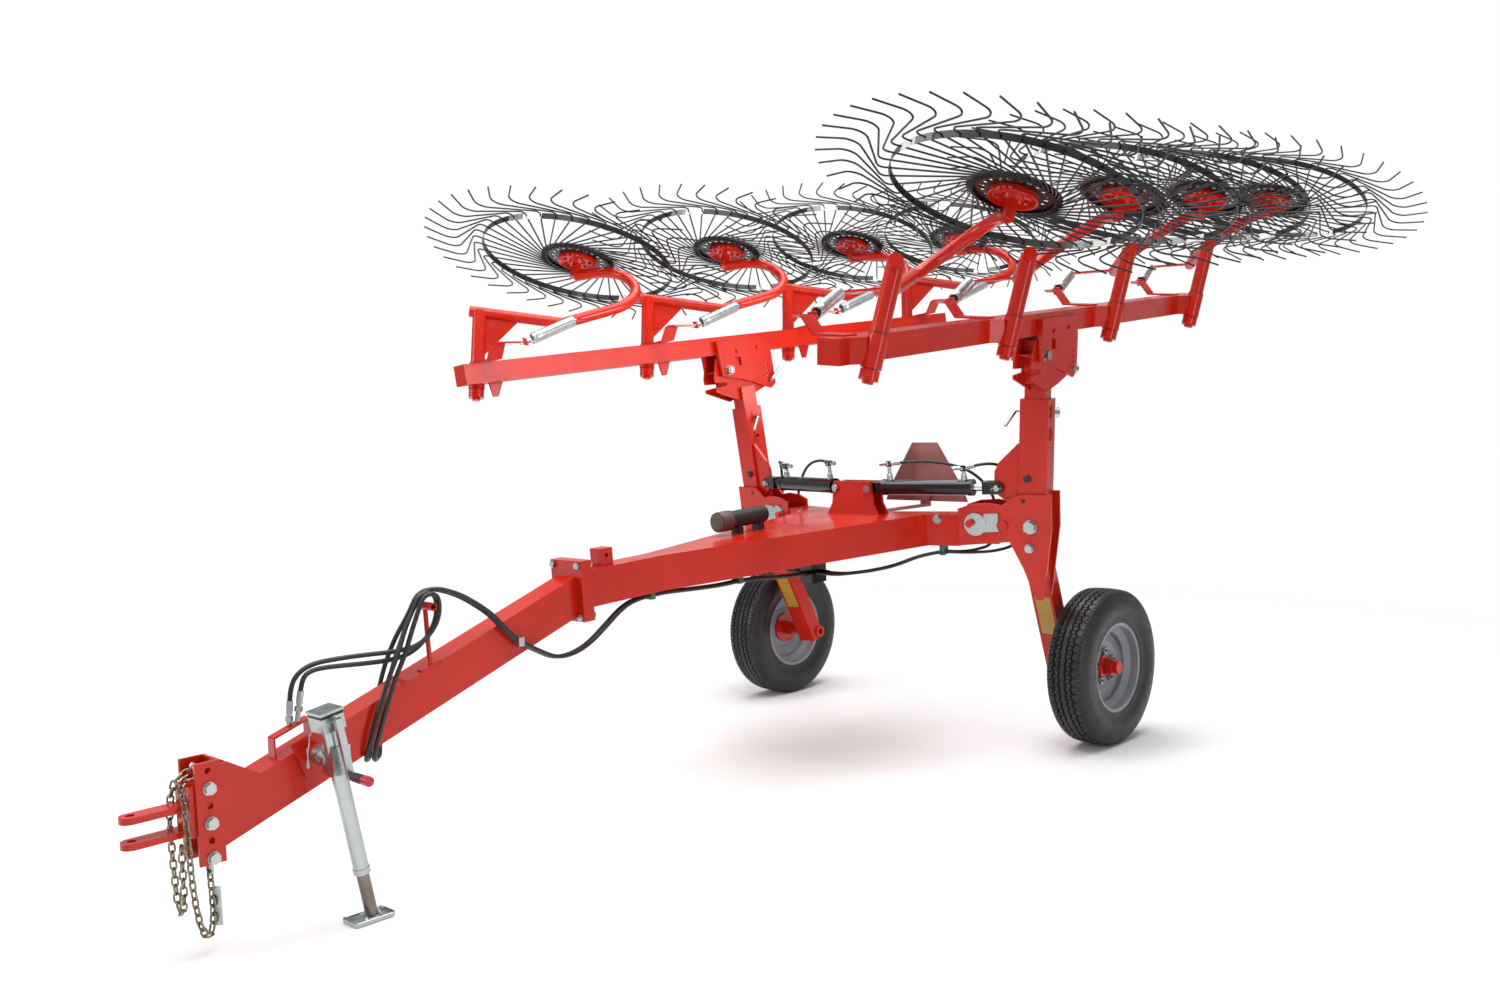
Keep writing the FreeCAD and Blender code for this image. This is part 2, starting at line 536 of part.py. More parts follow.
def beam():
    h, t = BEAM_S / 2, TUBE_WALL
    inside = block(-h + t, h - t, t, BEAM_LENGTH - t, -h + t, h - t, BEAM)
    parts = [block(-h, h, 0, BEAM_LENGTH, -h, h, BEAM).cut(inside)]
    parts += [spring_bracket(i) for i in range(WHEELS)]
    bores = []
    to_beam = BEAM.inverse()
    for i in range(WHEELS):
        low, top = spindle(i)
        d = unit(top - low)
        parts.append(rod(low + d * 16, low + d * 134, 36))
        foot = to_beam.multVec(low + d * 75)
        near = foot.x - 10
        saddle = [V(h, foot.y - 78, 0), V(near, foot.y - 34, 0), V(near, foot.y + 34, 0),
                  V(h, foot.y + 78, 0)]
        parts.append(placed(polygon_xy(saddle, -h).extrude(V(0, 0, 2 * h)), BEAM))
        stop = [(foot.y + 22, -h), (foot.y + 92, -h), (foot.y + 60, -h - 62), (foot.y + 34, -h - 62)]
        parts.append(outline(stop, (h - 8, h), BEAM))
        bores.append(rod(low - d * 30, low + d * 200, SPINDLE_PIN_R + 0.1))
    at = HEAD_AT
    clamp = [(at - 140, 22), (at + 205, 22), (at + 226, -62), (at + 224, -222), (at + 192, -244),
             (at + 146, -231), (at + 80, -203), (at + 7, -181), (at - 60, -168), (at - 126, -152),
             (at - 132, -60)]
    diamond = [(at - 24, -62), (at + 14, -70), (at + 14, -112), (at - 24, -104)]
    for side in (-1, 1):
        sheet = outline(clamp, sorted((side * 47, side * 57)), BEAM)
        cuts = [outline(diamond, sorted((side * 40, side * 60)), BEAM)]
        cuts += [rod(world(BEAM, side * 40, y, z), world(BEAM, side * 60, y, z), r) for y, z,
                 r in CLAMP_HOLES]
        spots = [(at + 184, -127 - 25.7 * k) for k in range(3)]
        cuts += [rod(world(BEAM, side * 40, y, z), world(BEAM, side * 60, y, z), 6) for y, z in spots]
        parts.append(sheet.cut(Part.makeCompound(cuts)))
        parts.append(outline([(at - 136, 20), (at + 203, 20), (at + 216, -40), (at - 134, -40)],
                             sorted((side * h, side * 47)), BEAM))
        parts.append(outline([(at - 140, 22), (at - 132, 22), (at - 124, -152), (at - 132, -152)],
                             sorted((side * 57, side * 72)), BEAM))
    return fused(parts).cut(Part.makeCompound(bores))


def crank_arm(i):
    """Spindle, tube that turns back over the wheel's middle, gusset, foot cap, spring eye, hub stub."""
    low, top = spindle(i)
    shift = ARM_STEP * i
    d, n = unit(top - low), unit(RAKE_NORMAL)
    centre = RAKE_CENTRE + shift
    upright = rod(low - d * 14, top + d * 6, SPINDLE_PIN_R).fuse(rod(low + d * 135, top + d * 6, SPINDLE_R))
    path = [top, V(943, -1424, 1951) + shift, V(796, -1028, 2057) + shift, V(1083, -951, 2229) + shift,
            centre - n * 90]
    inward = unit(path[1] - top)
    arm = bent([top - inward * 46] + path[1:], [60, 195, 195], ARM_R)
    stub = rod(centre - n * 96, centre + n * 32, HUB_PIN_R)
    shoulder = rod(centre - n * 96, centre - n * 25, HUB_PIN_R + 4)
    cap = rod(low - d * 24, low + d * 12, 34)
    points = [top - d * 20, low + d * 145, top + inward * 190]
    side = unit(d.cross(inward))
    face = Part.Face(Part.makePolygon([p - side * 4 for p in points + points[:1]]))
    eye = flat([(940, -1452), (915, -1392), (790, -1436), (752, -1436), (752, -1480), (790, -1490)],
               1953, 1961)
    eye.translate(shift)
    return fused([upright, arm, stub, shoulder, cap, face.extrude(side * 8), eye])


def spring_bracket(i):
    """Bent strap: foot on the beam, riser, and a tab whose lip takes the spring's eye bolt."""
    h, t = BEAM_S / 2, 6
    low, top = spring_ends(i)
    d = unit(top - low)
    along = ARM_STEP.Length * i
    strap = plate([(12, h - 1), (-120, h - 1), (-168, 104), (-172, 104), (-172, 110), (-165, 110),
                  (-117, h + t), (12, h + t)], 76 + along, 150 + along, BEAM)
    tab = flat([(886, -1857), (879, -1778), (838, -1716), (800, -1716), (790, -1760), (835, -1857)],
               1855, 1855 + t)
    tab.translate(ARM_STEP * i)
    tab = tab.cut(rod(low - d * 90, low - d * 37, 12))
    lip = block(-17, 17, -16, 16, -37, -31, axes(low, V(1, 0, 0), d))
    return fused([strap, tab, lip]).cut(rod(low - d * 60, low, 5.3))


def spring_ends(i):
    shift = ARM_STEP * i
    return V(815, -1699, 1873) + shift, V(760, -1497, 1955) + shift


def rake_wheel(i):
    """Band, hub discs and spring tines lie about the wheel's own plane."""
    n = unit(RAKE_NORMAL)
    pl = axes(RAKE_CENTRE + ARM_STEP * i, V(1, 0, 0) - n * n.x, n)
    band = Part.makeCylinder(BAND_R, 26, V(0, 0, -13)).cut(Part.makeCylinder(BAND_R - 5, 30, V(0, 0, -15)))
    disc = Part.makeCylinder(185, 14, V(0, 0, -7))
    hub_ = Part.makeCylinder(98, 26, V(0, 0, -18)).fuse(Part.makeCylinder(32, 50, V(0, 0, -24)))
    parts = [band, disc, hub_]
    for k in range(TINES):
        turn = 2 * math.pi * k / TINES
        polar = [(150, 9.0), (BAND_R - 3, 0.0), (600, 24.0), (TIP_R, 20.5)]
        points = [V(r * math.cos(turn + math.radians(a)), r * math.sin(turn + math.radians(a)), 0) for r,
                  a in polar]
        parts.append(bent(points, [25, 40], TINE_R))
    wheel = fused(parts).cut(Part.makeCylinder(HUB_PIN_R + 0.05, 200, V(0, 0, -100)))
    return placed(wheel, pl)


def float_spring(i):
    """Close-wound spring as its outer sleeve, with the eye bolt and nut at its lower end."""
    low, top = spring_ends(i)
    d = unit(top - low)
    sleeve = tube(low, top - d * 10, SPRING_R, SPRING_R - 6)
    plug = rod(low + d * 14, low + d * 26, SPRING_R - 5)
    eye_bolt = rod(low - d * 60, low + d * 20, 5)
    return fused([sleeve, plug, eye_bolt, hex_prism(low - d * 48, low - d * 38, 17)])


# ---------------------------------------------------------------- fold cylinders
def cylinder_barrel():
    local = axes(CYL_BASE, OUT, UP)
    eye = rod(cyl(0, -20), cyl(0, 20), 27)
    neck = block(12, 64, -20, 20, -24, 24, local)
    barrel = rod(cyl(60), cyl(494), 34.5)
    collars = [rod(cyl(60), cyl(84), 36.5), rod(cyl(470), cyl(494), 37)]
    body = fused([eye, neck, barrel] + collars)
    bores = [rod(cyl(0, -40), cyl(0, 40), CYL_PIN_R + 0.05), rod(cyl(120), cyl(520), CYL_ROD_R + 0.05)]
    body = body.cut(Part.makeCompound(bores))
    return fused([body] + [port_elbow(*p) for p in PORT_ELBOWS])


def port_elbow(h, up, stub, toward):
    """Port boss, riser and elbow with a crimped end that points along its hose, and a plugged stub."""
    corner = cyl(h, 0, up)
    d = unit(toward - corner)
    parts = [rod(cyl(h, 0, 25), cyl(h, 0, 48), 13), rod(cyl(h, 0, 48), corner, 8),
             block(-12, 12, -12, 12, -12, 12, axes(corner, OUT, UP)), rod(corner, corner + d * 22, 9),
             rod(corner + d * 20, corner + d * CRIMP, 10), rod(corner, cyl(stub, 0, up), 8)]
    return fused(parts)


def cylinder_rod():
    local = axes(CYL_BASE, OUT, UP)
    bar = rod(cyl(150), cyl(556), CYL_ROD_R)
    round_end = rod(cyl(CYL_LENGTH, -26), cyl(CYL_LENGTH, 26), 27)
    ears = block(540, CYL_LENGTH, -26, 26, -27, 27, local).fuse(round_end)
    slot = block(562, CYL_LENGTH + 60, -11, 11, -60, 60, local)
    studs = [rod(cyl(CYL_LENGTH, a), cyl(CYL_LENGTH, b), CYL_PIN_R) for a, b in ((-34, -12), (12, 34))]
    return fused([bar, ears.cut(slot)] + studs)


def base_pins():
    pin = fused([rod(CYL_BASE - BACK * 52, CYL_BASE + BACK * 52, CYL_PIN_R),
                 rod(CYL_BASE - BACK * 56, CYL_BASE - BACK * 47, 17)])
    return Part.makeCompound([pin, mirrored(pin)])


# ---------------------------------------------------------------- hoses and what holds them
def coupler_bracket():
    """Flat bar on two feet above the drawbar, with the hose sockets standing on it."""
    front, rear = V(0, -3402, 588), V(0, -3278, 630)
    run = rear - front
    bar = block(-20, 20, 0, run.Length, -3, 3, axes(front, V(1, 0, 0), V(0, -run.z, run.y)))
    feet = [block(-20, 20, y, y + 6, drawbar_edge(y + 3, 1) - 3, z) for y, z in ((-3405, 588), (-3284, 630))]
    return fused([bar] + feet)


def hose_hanger():
    foot = V(40, HANGER_Y - 10, drawbar_edge(HANGER_Y - 10, 1))
    top = V(12, HANGER_Y, HANGER_Z)
    tilt = math.radians(DRAWBAR_TILT)
    pad = block(-20, 12, -40, 40, -1, 6, axes(foot, V(1, 0, 0), V(0, -math.sin(tilt), math.cos(tilt))))
    post = fused([rod(foot, top, 8), pad])
    saddle = tube(V(-38, HANGER_Y, HANGER_Z), V(64, HANGER_Y, HANGER_Z), 14, 10)
    return fused([post.cut(rod(V(-38, HANGER_Y, HANGER_Z), V(64, HANGER_Y, HANGER_Z), 12)), saddle])


def hose_brackets():
    solid_bar = block(-53, 53, -3000, 40, -DRAWBAR_H / 2, DRAWBAR_H / 2, BAR)
    return Part.makeCompound([s.cut(solid_bar) for s in (coupler_bracket(), hose_hanger())])


def crimped_end(points, length):
    """Socket and crimped ferrule behind a hose's first point, in line with its first run."""
    p, d = points[0], unit(points[1] - points[0])
    nut = hex_prism(p - d * 64, p - d * 48, 22)
    return fused([rod(p - d * length, p - d * 38, 8), nut, rod(p - d * 40, p, 10.5)])


def hose_valve():
    """Valve block hung under the main frame, with the hose ends screwed into it."""
    body = block(-35, 35, -880, -785, 758, 845)
    hanger = block(-12, 12, -850, -815, 840, 900).cut(block(-100, 100, 0, 3000, -FRAME_H / 2, 100, MAIN))
    ends = [rod(p, p + unit(q - p) * VALVE_END, 9.5) for p, q in VALVE_PORTS]
    return fused([body, hanger] + ends)


def clip(spread, y0, y1):
    """Clip hung from the main frame's underside; the hoses are cut out of it afterwards."""
    x0, x1, drop = spread
    return block(x0, x1, y0 - FRAME_FRONT[0], y1 - FRAME_FRONT[0], -FRAME_H / 2 - drop, -FRAME_H / 2, MAIN)


def arm_clip():
    box = block(330, 352, -36, 12, -300, -240, axes(CYL_BASE, OUT, UP))
    below = block(-900, 900, 0, 3000, -FRAME_H / 2, 200, MAIN)
    return box.cut(below)


def safety_chain(points):
    return bent(points, cord_radii(points), CHAIN_R)


# ---------------------------------------------------------------- canister, sign, latch
def canister():
    """Document tube with a wider screw cap at its front end, held on two feet."""
    front, joint, rear = V(-100, -1322, 1062), V(-100, -1247, 1066), V(-100, -1040, 1078)
    feet = [block(-124, -76, y, y + 26, 1000, 1050) for y in (-1215, -1085)]
    top = block(-400, 400, 0, 2000, -FRAME_H, FRAME_H / 2, MAIN)
    return fused([rod(front, joint, 42), rod(joint, rear, 37)] + [f.cut(top) for f in feet])


def sign_plate():
    points = [(-245, 1050), (245, 1050), (215, 1120), (75, 1335), (-75, 1335), (-215, 1120)]
    face = Part.Face(Part.makePolygon([V(x, 20, z) for x, z in points + points[:1]]))
    bar = block(-30, 30, -422, 20, 1026, 1034)
    foot = block(-30, 30, 14, 20, 1026, 1110)
    return fused([face.extrude(V(0, 3, 0)), bar, foot])


def transport_latch():
    disc = rod(world(PLATES, -246, -9, 9), world(PLATES, -246, 0, 9), 50)
    keep = plate([(-210, -26), (-138, -22), (-141, -16), (-150, 4), (-141, 24), (-141, 58), (-206, 56)],
                 -7, 0, PLATES)
    peg = rod(world(PLATES, -268, -30, 14), world(PLATES, -268, 10, 14), 17.1)
    return fused([disc.cut(peg), keep])


# ---------------------------------------------------------------- routes
CRIMP, VALVE_END = 50.0, 34.0
GUIDE_H = (545.0, 680.0)
PORT_ELBOWS = [(CYL_PORTS[0], 107.0, 50.0, cyl(200, 42, 112)),
               (CYL_PORTS[1], 85.0, 403.0, cyl(540, 24, 102))]


def hose_start(port):
    h, up, _, toward = PORT_ELBOWS[port]
    corner = cyl(h, 0, up)
    return corner + unit(toward - corner) * CRIMP


PRESSURE_ROUTE = [V(-8, -3330, 690), V(-8, -3325, 735), V(-7, -3296, 775), V(-5, -3245, 795),
                  V(0, -3160, 797), V(12, -3060, 795), V(25, -2960, 790), V(38, -2880, 800),
                  V(44, -2822, 850), V(46, -2800, 905), V(46, -2806, 965), V(48, -2862, 968),
                  V(52, -2890, 915), V(60, -2925, 850), V(70, -2960, 780), V(74, -3010, 700),
                  V(76, -3045, 615), V(76, -3082, 520), V(66, -3096, 455), V(0, -3030, 450),
                  V(-66, -2990, 470), V(-76, -2975, 545), V(-74, -2950, 640), V(-66, -2920, 740),
                  V(-45, -2890, 830), V(-24, -2872, 905), V(-20, -2850, 960), V(-16, -2795, 978),
                  V(6, -2715, 950), V(30, -2655, 908), V(56, -2605, 862), V(68, -2562, 805),
                  V(68, -2508, 756), V(62, -2425, 712), V(50, -2335, 668), V(40, -2240, 668),
                  V(32, -2155, 695), V(26, -2072, 745), V(22, -1988, 800), V(20, -1908, 827),
                  V(20, -1841, 830)]
RETURN_ROUTE = [V(8, -3300, 718), V(8, -3293, 756), V(8, -3262, 776), V(9, -3215, 778),
                V(12, -3150, 774), V(16, -3070, 768), V(20, -2980, 764), V(10, -2895, 772),
                V(6, -2822, 822), V(12, -2790, 890), V(22, -2800, 966), V(30, -2864, 972),
                V(34, -2897, 922), V(48, -2940, 866), V(66, -2977, 800), V(75, -3030, 712),
                V(77, -3066, 628), V(77, -3104, 530), V(64, -3124, 460), V(-8, -3062, 452),
                V(-68, -3026, 478), V(-77, -3008, 552), V(-76, -2980, 645), V(-69, -2950, 742),
                V(-44, -2922, 826), V(-6, -2892, 900), V(-2, -2862, 958), V(2, -2797, 982),
                V(24, -2715, 954), V(48, -2655, 912), V(74, -2605, 866), V(86, -2562, 808),
                V(86, -2508, 758), V(80, -2425, 714), V(68, -2335, 670), V(58, -2240, 670),
                V(50, -2155, 697), V(44, -2072, 747), V(40, -1988, 802), V(38, -1908, 827),
                V(38, -1841, 830)]
CYLINDER_ROUTES = [[hose_start(0), cyl(200, 42, 112), cyl(270, 62, 106), cyl(350, 85, 92),
                   cyl(430, 105, 62), cyl(490, 117, 12), cyl(532, 119, -50), cyl(545, 118, -100),
                   cyl(545, 118, -150)], [hose_start(1), cyl(540, 24, 102), cyl(590, 62, 92),
                   cyl(635, 98, 55), cyl(664, 115, 0), cyl(680, 118, -60), cyl(680, 118, -150)]]


def supply_route(x0, x1):
    """From the first clip under the frame to the front of the valve."""
    return [V(x0, -1841, 830), V(x0, -1760, 833), V(x0, -1600, 826), V(x0, -1450, 822), V(x0, -1348, 826),
            V(x0 * 0.8 + x1 * 0.2, -1220, 822), V(x0 * 0.3 + x1 * 0.7, -1070, 808), V(x1, -960, 802),
            V(x1, -880 - VALVE_END, 802)]


def arm_route(h, drop, inner, port):
    """From a guide behind the side plate, forward under the cross arm and in to the valve's side."""
    p, q = port
    far, apart = h - 90 - drop, -4 - inner
    return [cyl(h, 118, -150), cyl(h, 118, -215), cyl(h - 22 - drop, 88, -276), cyl(far, 36, -290),
            cyl((far + 341) / 2, inner + 14, -291), cyl(341, inner, -286),
            V(338 + 0.8 * apart, -509 - apart / 2, 856), V(270 + 0.8 * apart, -604 - apart / 2, 818),
            V(190 + 0.8 * apart, -704 - apart / 2, 800), q, p + unit(q - p) * VALVE_END]


SUPPLY_PORTS = [(V(x, -880, 802), V(x, -960, 802)) for x in (-12.0, 12.0)]
ARM_PORTS = [(V(35, y, 802), V(150, y + 6, 800)) for y in (-858.0, -808.0)]
VALVE_PORTS = SUPPLY_PORTS + ARM_PORTS + [(V(-p.x, p.y, p.z), V(-q.x, q.y, q.z)) for p, q in ARM_PORTS]

NEAR_CHAIN = [V(26, -3633, 262), V(48, -3642, 214), V(52, -3642, 150), V(50, -3642, 92), V(58, -3662, 44),
              V(72, -3690, 90), V(75, -3704, 173), V(66, -3706, 256), V(60, -3706, 350), V(54, -3706, 440),
              V(38, -3704, 488), V(24, -3700, 524), V(20, -3668, 522), V(18, -3630, 516)]
FAR_CHAIN = [V(-36, -3636, 552), V(-25, -3655, 536), V(-14, -3700, 524), V(-34, -3706, 480),
             V(-56, -3706, 436), V(-62, -3705, 370), V(-62, -3704, 300), V(-60, -3703, 225),
             V(-56, -3702, 155), V(-30, -3702, 100), V(-4, -3702, 155), V(0, -3703, 225),
             V(2, -3703, 285), V(2, -3703, 338)]

# ---------------------------------------------------------------- export
export("main_frame", main_frame())
export("drawbar", fused([drawbar(), jack_mount()]))
export("hitch_clevis", hitch_clevis())
export("hitch_bolts", hitch_bolts())
export("jack_body", jack_body())
export("jack_leg", jack_leg())
export("jack_crank", jack_crank())
export_pair("cart_leg", cart_leg())
export_pair("tyre", tyre())
export_pair("wheel_rim", rim())
export_pair("wheel_hub", hub())
export_pair("post_sleeve", post_sleeve())
export_pair("post_inner", post_inner())
export_pair("post_pins", post_pins())
export_pair("rake_beam", beam())
export_pair("crank_arms", Part.makeCompound([crank_arm(i) for i in range(WHEELS)]))
export_pair("float_springs", Part.makeCompound([float_spring(i) for i in range(WHEELS)]))
for i in range(WHEELS):
    export_pair("rake_wheel_%d" % (i + 1), rake_wheel(i))
export_pair("cylinder_barrel", cylinder_barrel())
export_pair("cylinder_rod", cylinder_rod())
latches = transport_latch()
export("transport_latches", Part.makeCompound([latches, mirrored(latches)]))
pins = fold_pin()
export("pivot_pins", Part.makeCompound(pins + [mirrored(p) for p in pins] + [base_pins()]))
export("document_canister", canister())
export("sign_plate", sign_plate())
export("hose_brackets", hose_brackets())
export("hose_fittings", Part.makeCompound([crimped_end(PRESSURE_ROUTE, 74), crimped_end(RETURN_ROUTE, 96)]))
pressure, returned = cord("pressure_hose", PRESSURE_ROUTE, HOSE_R), cord("return_hose", RETURN_ROUTE, HOSE_R)
export("pressure_hose", pressure)
export("return_hose", returned)
export_pair("cylinder_hoses",
            Part.makeCompound([cord("cylinder hose", r, CYL_HOSE_R) for r in CYLINDER_ROUTES]))
supply = [cord("supply hose", supply_route(20, -12), HOSE_R),
          cord("supply hose", supply_route(38, 12), HOSE_R)]
arm_hoses = [cord("arm hose", arm_route(h, drop, inner, port), CYL_HOSE_R)
             for h, drop, inner, port in zip(GUIDE_H, (0, 30), (-4, -22), ARM_PORTS[::-1])]
frame_hoses = Part.makeCompound(supply + arm_hoses + [mirrored(s) for s in arm_hoses])
export("frame_hoses", frame_hoses)
export("hose_valve", hose_valve())
held = Part.makeCompound([pressure, returned, frame_hoses])
clips = [clip((6, 52, 24), -1852, -1830), clip((6, 52, 44), -1360, -1337), arm_clip(), mirrored(arm_clip())]
export("hose_clips", Part.makeCompound([c.cut(held) for c in clips]))
export("hose_clamp", block(53, 98, -2519, -2496, 742, 774).cut(held))
export("safety_chains", Part.makeCompound([safety_chain(NEAR_CHAIN), safety_chain(FAR_CHAIN)]))
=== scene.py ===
# %% [markdown]
# # Wheel rake, folded for the road
# Eight finger wheels ride above a two-wheeled cart.  The CAD frame gives every steel piece its place;
# this file gives the steel its finish and adds the pieces that CAD leaves out.

# %% Frame
import json
import math
import bmesh
import bpy
import numpy as np
from mathutils import Matrix, Vector


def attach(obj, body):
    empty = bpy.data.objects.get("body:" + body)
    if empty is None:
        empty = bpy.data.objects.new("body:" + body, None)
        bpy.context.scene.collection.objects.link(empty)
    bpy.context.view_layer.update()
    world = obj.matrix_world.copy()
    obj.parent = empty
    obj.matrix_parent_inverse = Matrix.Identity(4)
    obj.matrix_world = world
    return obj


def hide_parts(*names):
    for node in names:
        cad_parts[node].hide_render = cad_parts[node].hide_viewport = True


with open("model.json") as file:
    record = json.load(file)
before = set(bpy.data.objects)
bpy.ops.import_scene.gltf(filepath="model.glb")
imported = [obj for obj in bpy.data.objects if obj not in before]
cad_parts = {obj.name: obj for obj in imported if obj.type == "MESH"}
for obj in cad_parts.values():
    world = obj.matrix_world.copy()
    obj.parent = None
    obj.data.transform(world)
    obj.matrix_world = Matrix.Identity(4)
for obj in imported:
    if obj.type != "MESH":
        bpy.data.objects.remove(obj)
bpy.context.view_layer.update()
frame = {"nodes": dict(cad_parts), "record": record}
nodes = frame["nodes"]

# %% [markdown]
# ## Finishes
# Every surface gets a material made of nodes.  Colours are written as a paint chart gives them, and one
# function turns them into linear light, because the shader works in linear light.  Patterns are sized in
# millimetres.

# %% Material helpers
def linear(code):
    """sRGB hex colour as linear RGBA."""
    values = [int(code[k:k + 2], 16) / 255 for k in (0, 2, 4)]
    return tuple(v / 12.92 if v <= 0.04045 else ((v + 0.055) / 1.055) ** 2.4 for v in values) + (1.0,)


def add(tree, kind, links=None, **settings):
    """One node with its settings; links maps an input's name to a value or to another node's socket."""
    n = tree.nodes.new(kind)
    for key, value in settings.items():
        setattr(n, key, value)
    for key, value in (links or {}).items():
        if isinstance(value, bpy.types.NodeSocket):
            tree.links.new(value, n.inputs[key])
        else:
            n.inputs[key].default_value = value
    return n


def ramp(tree, factor, low, high, start=0.0, end=1.0):
    """Colour that runs from low to high as factor runs from start to end."""
    n = add(tree, "ShaderNodeValToRGB", {"Fac": factor})
    n.color_ramp.elements[0].position, n.color_ramp.elements[0].color = start, low
    n.color_ramp.elements[1].position, n.color_ramp.elements[1].color = end, high
    return n.outputs["Color"]


def spread(tree, factor, low, high, start=0.0, end=1.0):
    """Number that runs from low to high as factor runs from start to end."""
    n = add(tree, "ShaderNodeMapRange", {"Value": factor, "From Min": start, "From Max": end,
                                         "To Min": low, "To Max": high})
    return n.outputs["Result"]


def noise(tree, millimetres, detail=3.0, roughness=0.5, stretch=None):
    """Noise whose blobs are about that many millimetres across, in the object's own coordinates."""
    where = add(tree, "ShaderNodeTexCoord").outputs["Object"]
    if stretch:
        where = add(tree, "ShaderNodeMapping", {"Vector": where, "Scale": stretch}).outputs["Vector"]
    n = add(tree, "ShaderNodeTexNoise", {"Vector": where, "Scale": 1000.0 / millimetres, "Detail": detail,
                                         "Roughness": roughness})
    return n.outputs["Fac"]


def bump(tree, height, distance, strength=0.4):
    n = add(tree, "ShaderNodeBump", {"Height": height, "Distance": distance, "Strength": strength})
    return n.outputs["Normal"]


def material(name):
    m = bpy.data.materials.new(name)
    m.use_nodes = True
    tree = m.node_tree
    tree.nodes.clear()
    shader = add(tree, "ShaderNodeBsdfPrincipled")
    add(tree, "ShaderNodeOutputMaterial", {"Surface": shader.outputs["BSDF"]})
    return m, tree, shader


def feed(tree, shader, **inputs):
    """Sets or links the shader's sockets, with _ for a space in their names."""
    for key, value in inputs.items():
        socket = shader.inputs[key.replace("_", " ")]
        if isinstance(value, bpy.types.NodeSocket):
            tree.links.new(value, socket)
        else:
            socket.default_value = value


print("mid grey 808080 is", round(linear("808080")[0], 3), "in linear light")

# %% [markdown]
# The machine has three kinds of surface.  Enamel is a coloured base under a thin clear coat, which gives
# the sharp highlight.  Zinc plate is a metal with faint clouds from the bath.  Rubber and moulded plastic
# scatter the light, with a fine grain.  The first number after the colours is the roughness.

# %% Paints and metals
def paint(name, dark, light, rough=0.25, coat=0.5, peel=0.00012):
    m, tree, shader = material(name)
    tone = noise(tree, 320, 2.0)
    feed(tree, shader, Base_Color=ramp(tree, tone, linear(dark), linear(light), 0.35, 0.65),
         Roughness=spread(tree, noise(tree, 90, 4.0), rough - 0.05, rough + 0.1, 0.3, 0.7),
         Specular_IOR_Level=0.3, Coat_Weight=coat, Coat_Roughness=0.06,
         Normal=bump(tree, noise(tree, 7, 1.0), peel, 0.5))
    return m


def plated(name, dark, light, rough=0.28, cloud_size=60):
    """Zinc plate: spangled light grey metal."""
    m, tree, shader = material(name)
    cloud = noise(tree, cloud_size, 2.0)
    feed(tree, shader, Base_Color=ramp(tree, cloud, linear(dark), linear(light), 0.3, 0.7), Metallic=1.0,
         Roughness=spread(tree, noise(tree, 60, 2.0), rough - 0.05, rough + 0.07, 0.3, 0.7),
         Normal=bump(tree, noise(tree, 30, 1.0), 0.00012, 0.25))
    return m


def rubber(name, dark, light, rough=0.62):
    m, tree, shader = material(name)
    feed(tree, shader, Base_Color=ramp(tree, noise(tree, 60, 4.0), linear(dark), linear(light), 0.3, 0.7),
         Roughness=spread(tree, noise(tree, 25, 3.0), rough - 0.08, rough + 0.1, 0.3, 0.7),
         Normal=bump(tree, noise(tree, 1.6, 2.0), 0.0002, 0.3))
    return m


red = paint("gloss_red_paint", "B51C07", "C02009", 0.2, 0.16, 0.00003)
black = paint("satin_black_paint", "111113", "1B1B1D", 0.32, 0.2)
silver = paint("silver_rim_paint", "7E8086", "8E9096", 0.34, 0.3)
zinc = plated("bright_zinc_plate", "A6ACAB", "B2B8B7", 0.28, 160)
hydraulic = paint("gloss_hydraulic_black", "08080A", "111113", 0.18, 0.4)
tyre_rubber = rubber("tyre_rubber", "0B090C", "131014", 0.42)
hose_rubber = rubber("hose_rubber", "101011", "1C1C1D", 0.45)
# Black plastic is also painted shade: it fills the lock hole and the road wheels' vent slots.
black_plastic_and_shade = rubber("moulded_black_plastic_and_painted_shade", "141313", "201E1D", 0.5)
green = rubber("moulded_green_plastic", "1D5A35", "27693F", 0.45)
brown = rubber("moulded_brown_plastic", "4A3A33", "5A4740", 0.5)
red_plastic = rubber("dipped_red_vinyl", "A91E33", "C22840", 0.35)
tine_steel = paint("black_tine_enamel", "0E0D0F", "171619", 0.35, 0.15)
chrome = plated("hard_chrome", "D8DADB", "EEF0F0", 0.1)
bright_wire = plated("bright_spring_wire", "B4B9B8", "C4C9C8", 0.3, 400)
# The next two finishes are a painted highlight on the finger wheels' band: white, then a grey fade.
band_highlight_white = paint("band_painted_highlight_white", "C9CBC6", "E2E3DE", 0.3, 0.6)
grey_tape = paint("band_painted_highlight_grey", "6E7072", "808284", 0.3, 0.6)
olive = paint("yellow_reflective_tape", "A8862F", "BD9A3A", 0.3, 0.6)
orange = paint("orange_reflective_sheet", "E8501C", "F2602A", 0.35, 0.4)
dark_red = paint("red_reflective_sheet", "8E1220", "A81A28", 0.3, 0.5)
chain_steel = plated("yellow_passivated_chain", "7A7263", "8F8876", 0.3, 80)
slide_steel = plated("bare_slide_steel", "6C6661", "857E78", 0.32, 120)
sign_back = plated("bare_sign_sheet", "8A5856", "B07A78", 0.36, 260)

print(len(bpy.data.materials), "finishes, of which", red.name, "covers the most")

# %% [markdown]
# The steel pieces keep their shape and place.  Each only gets the finish that its slot in the record asks
# for; the sign's bare back is the one exception.

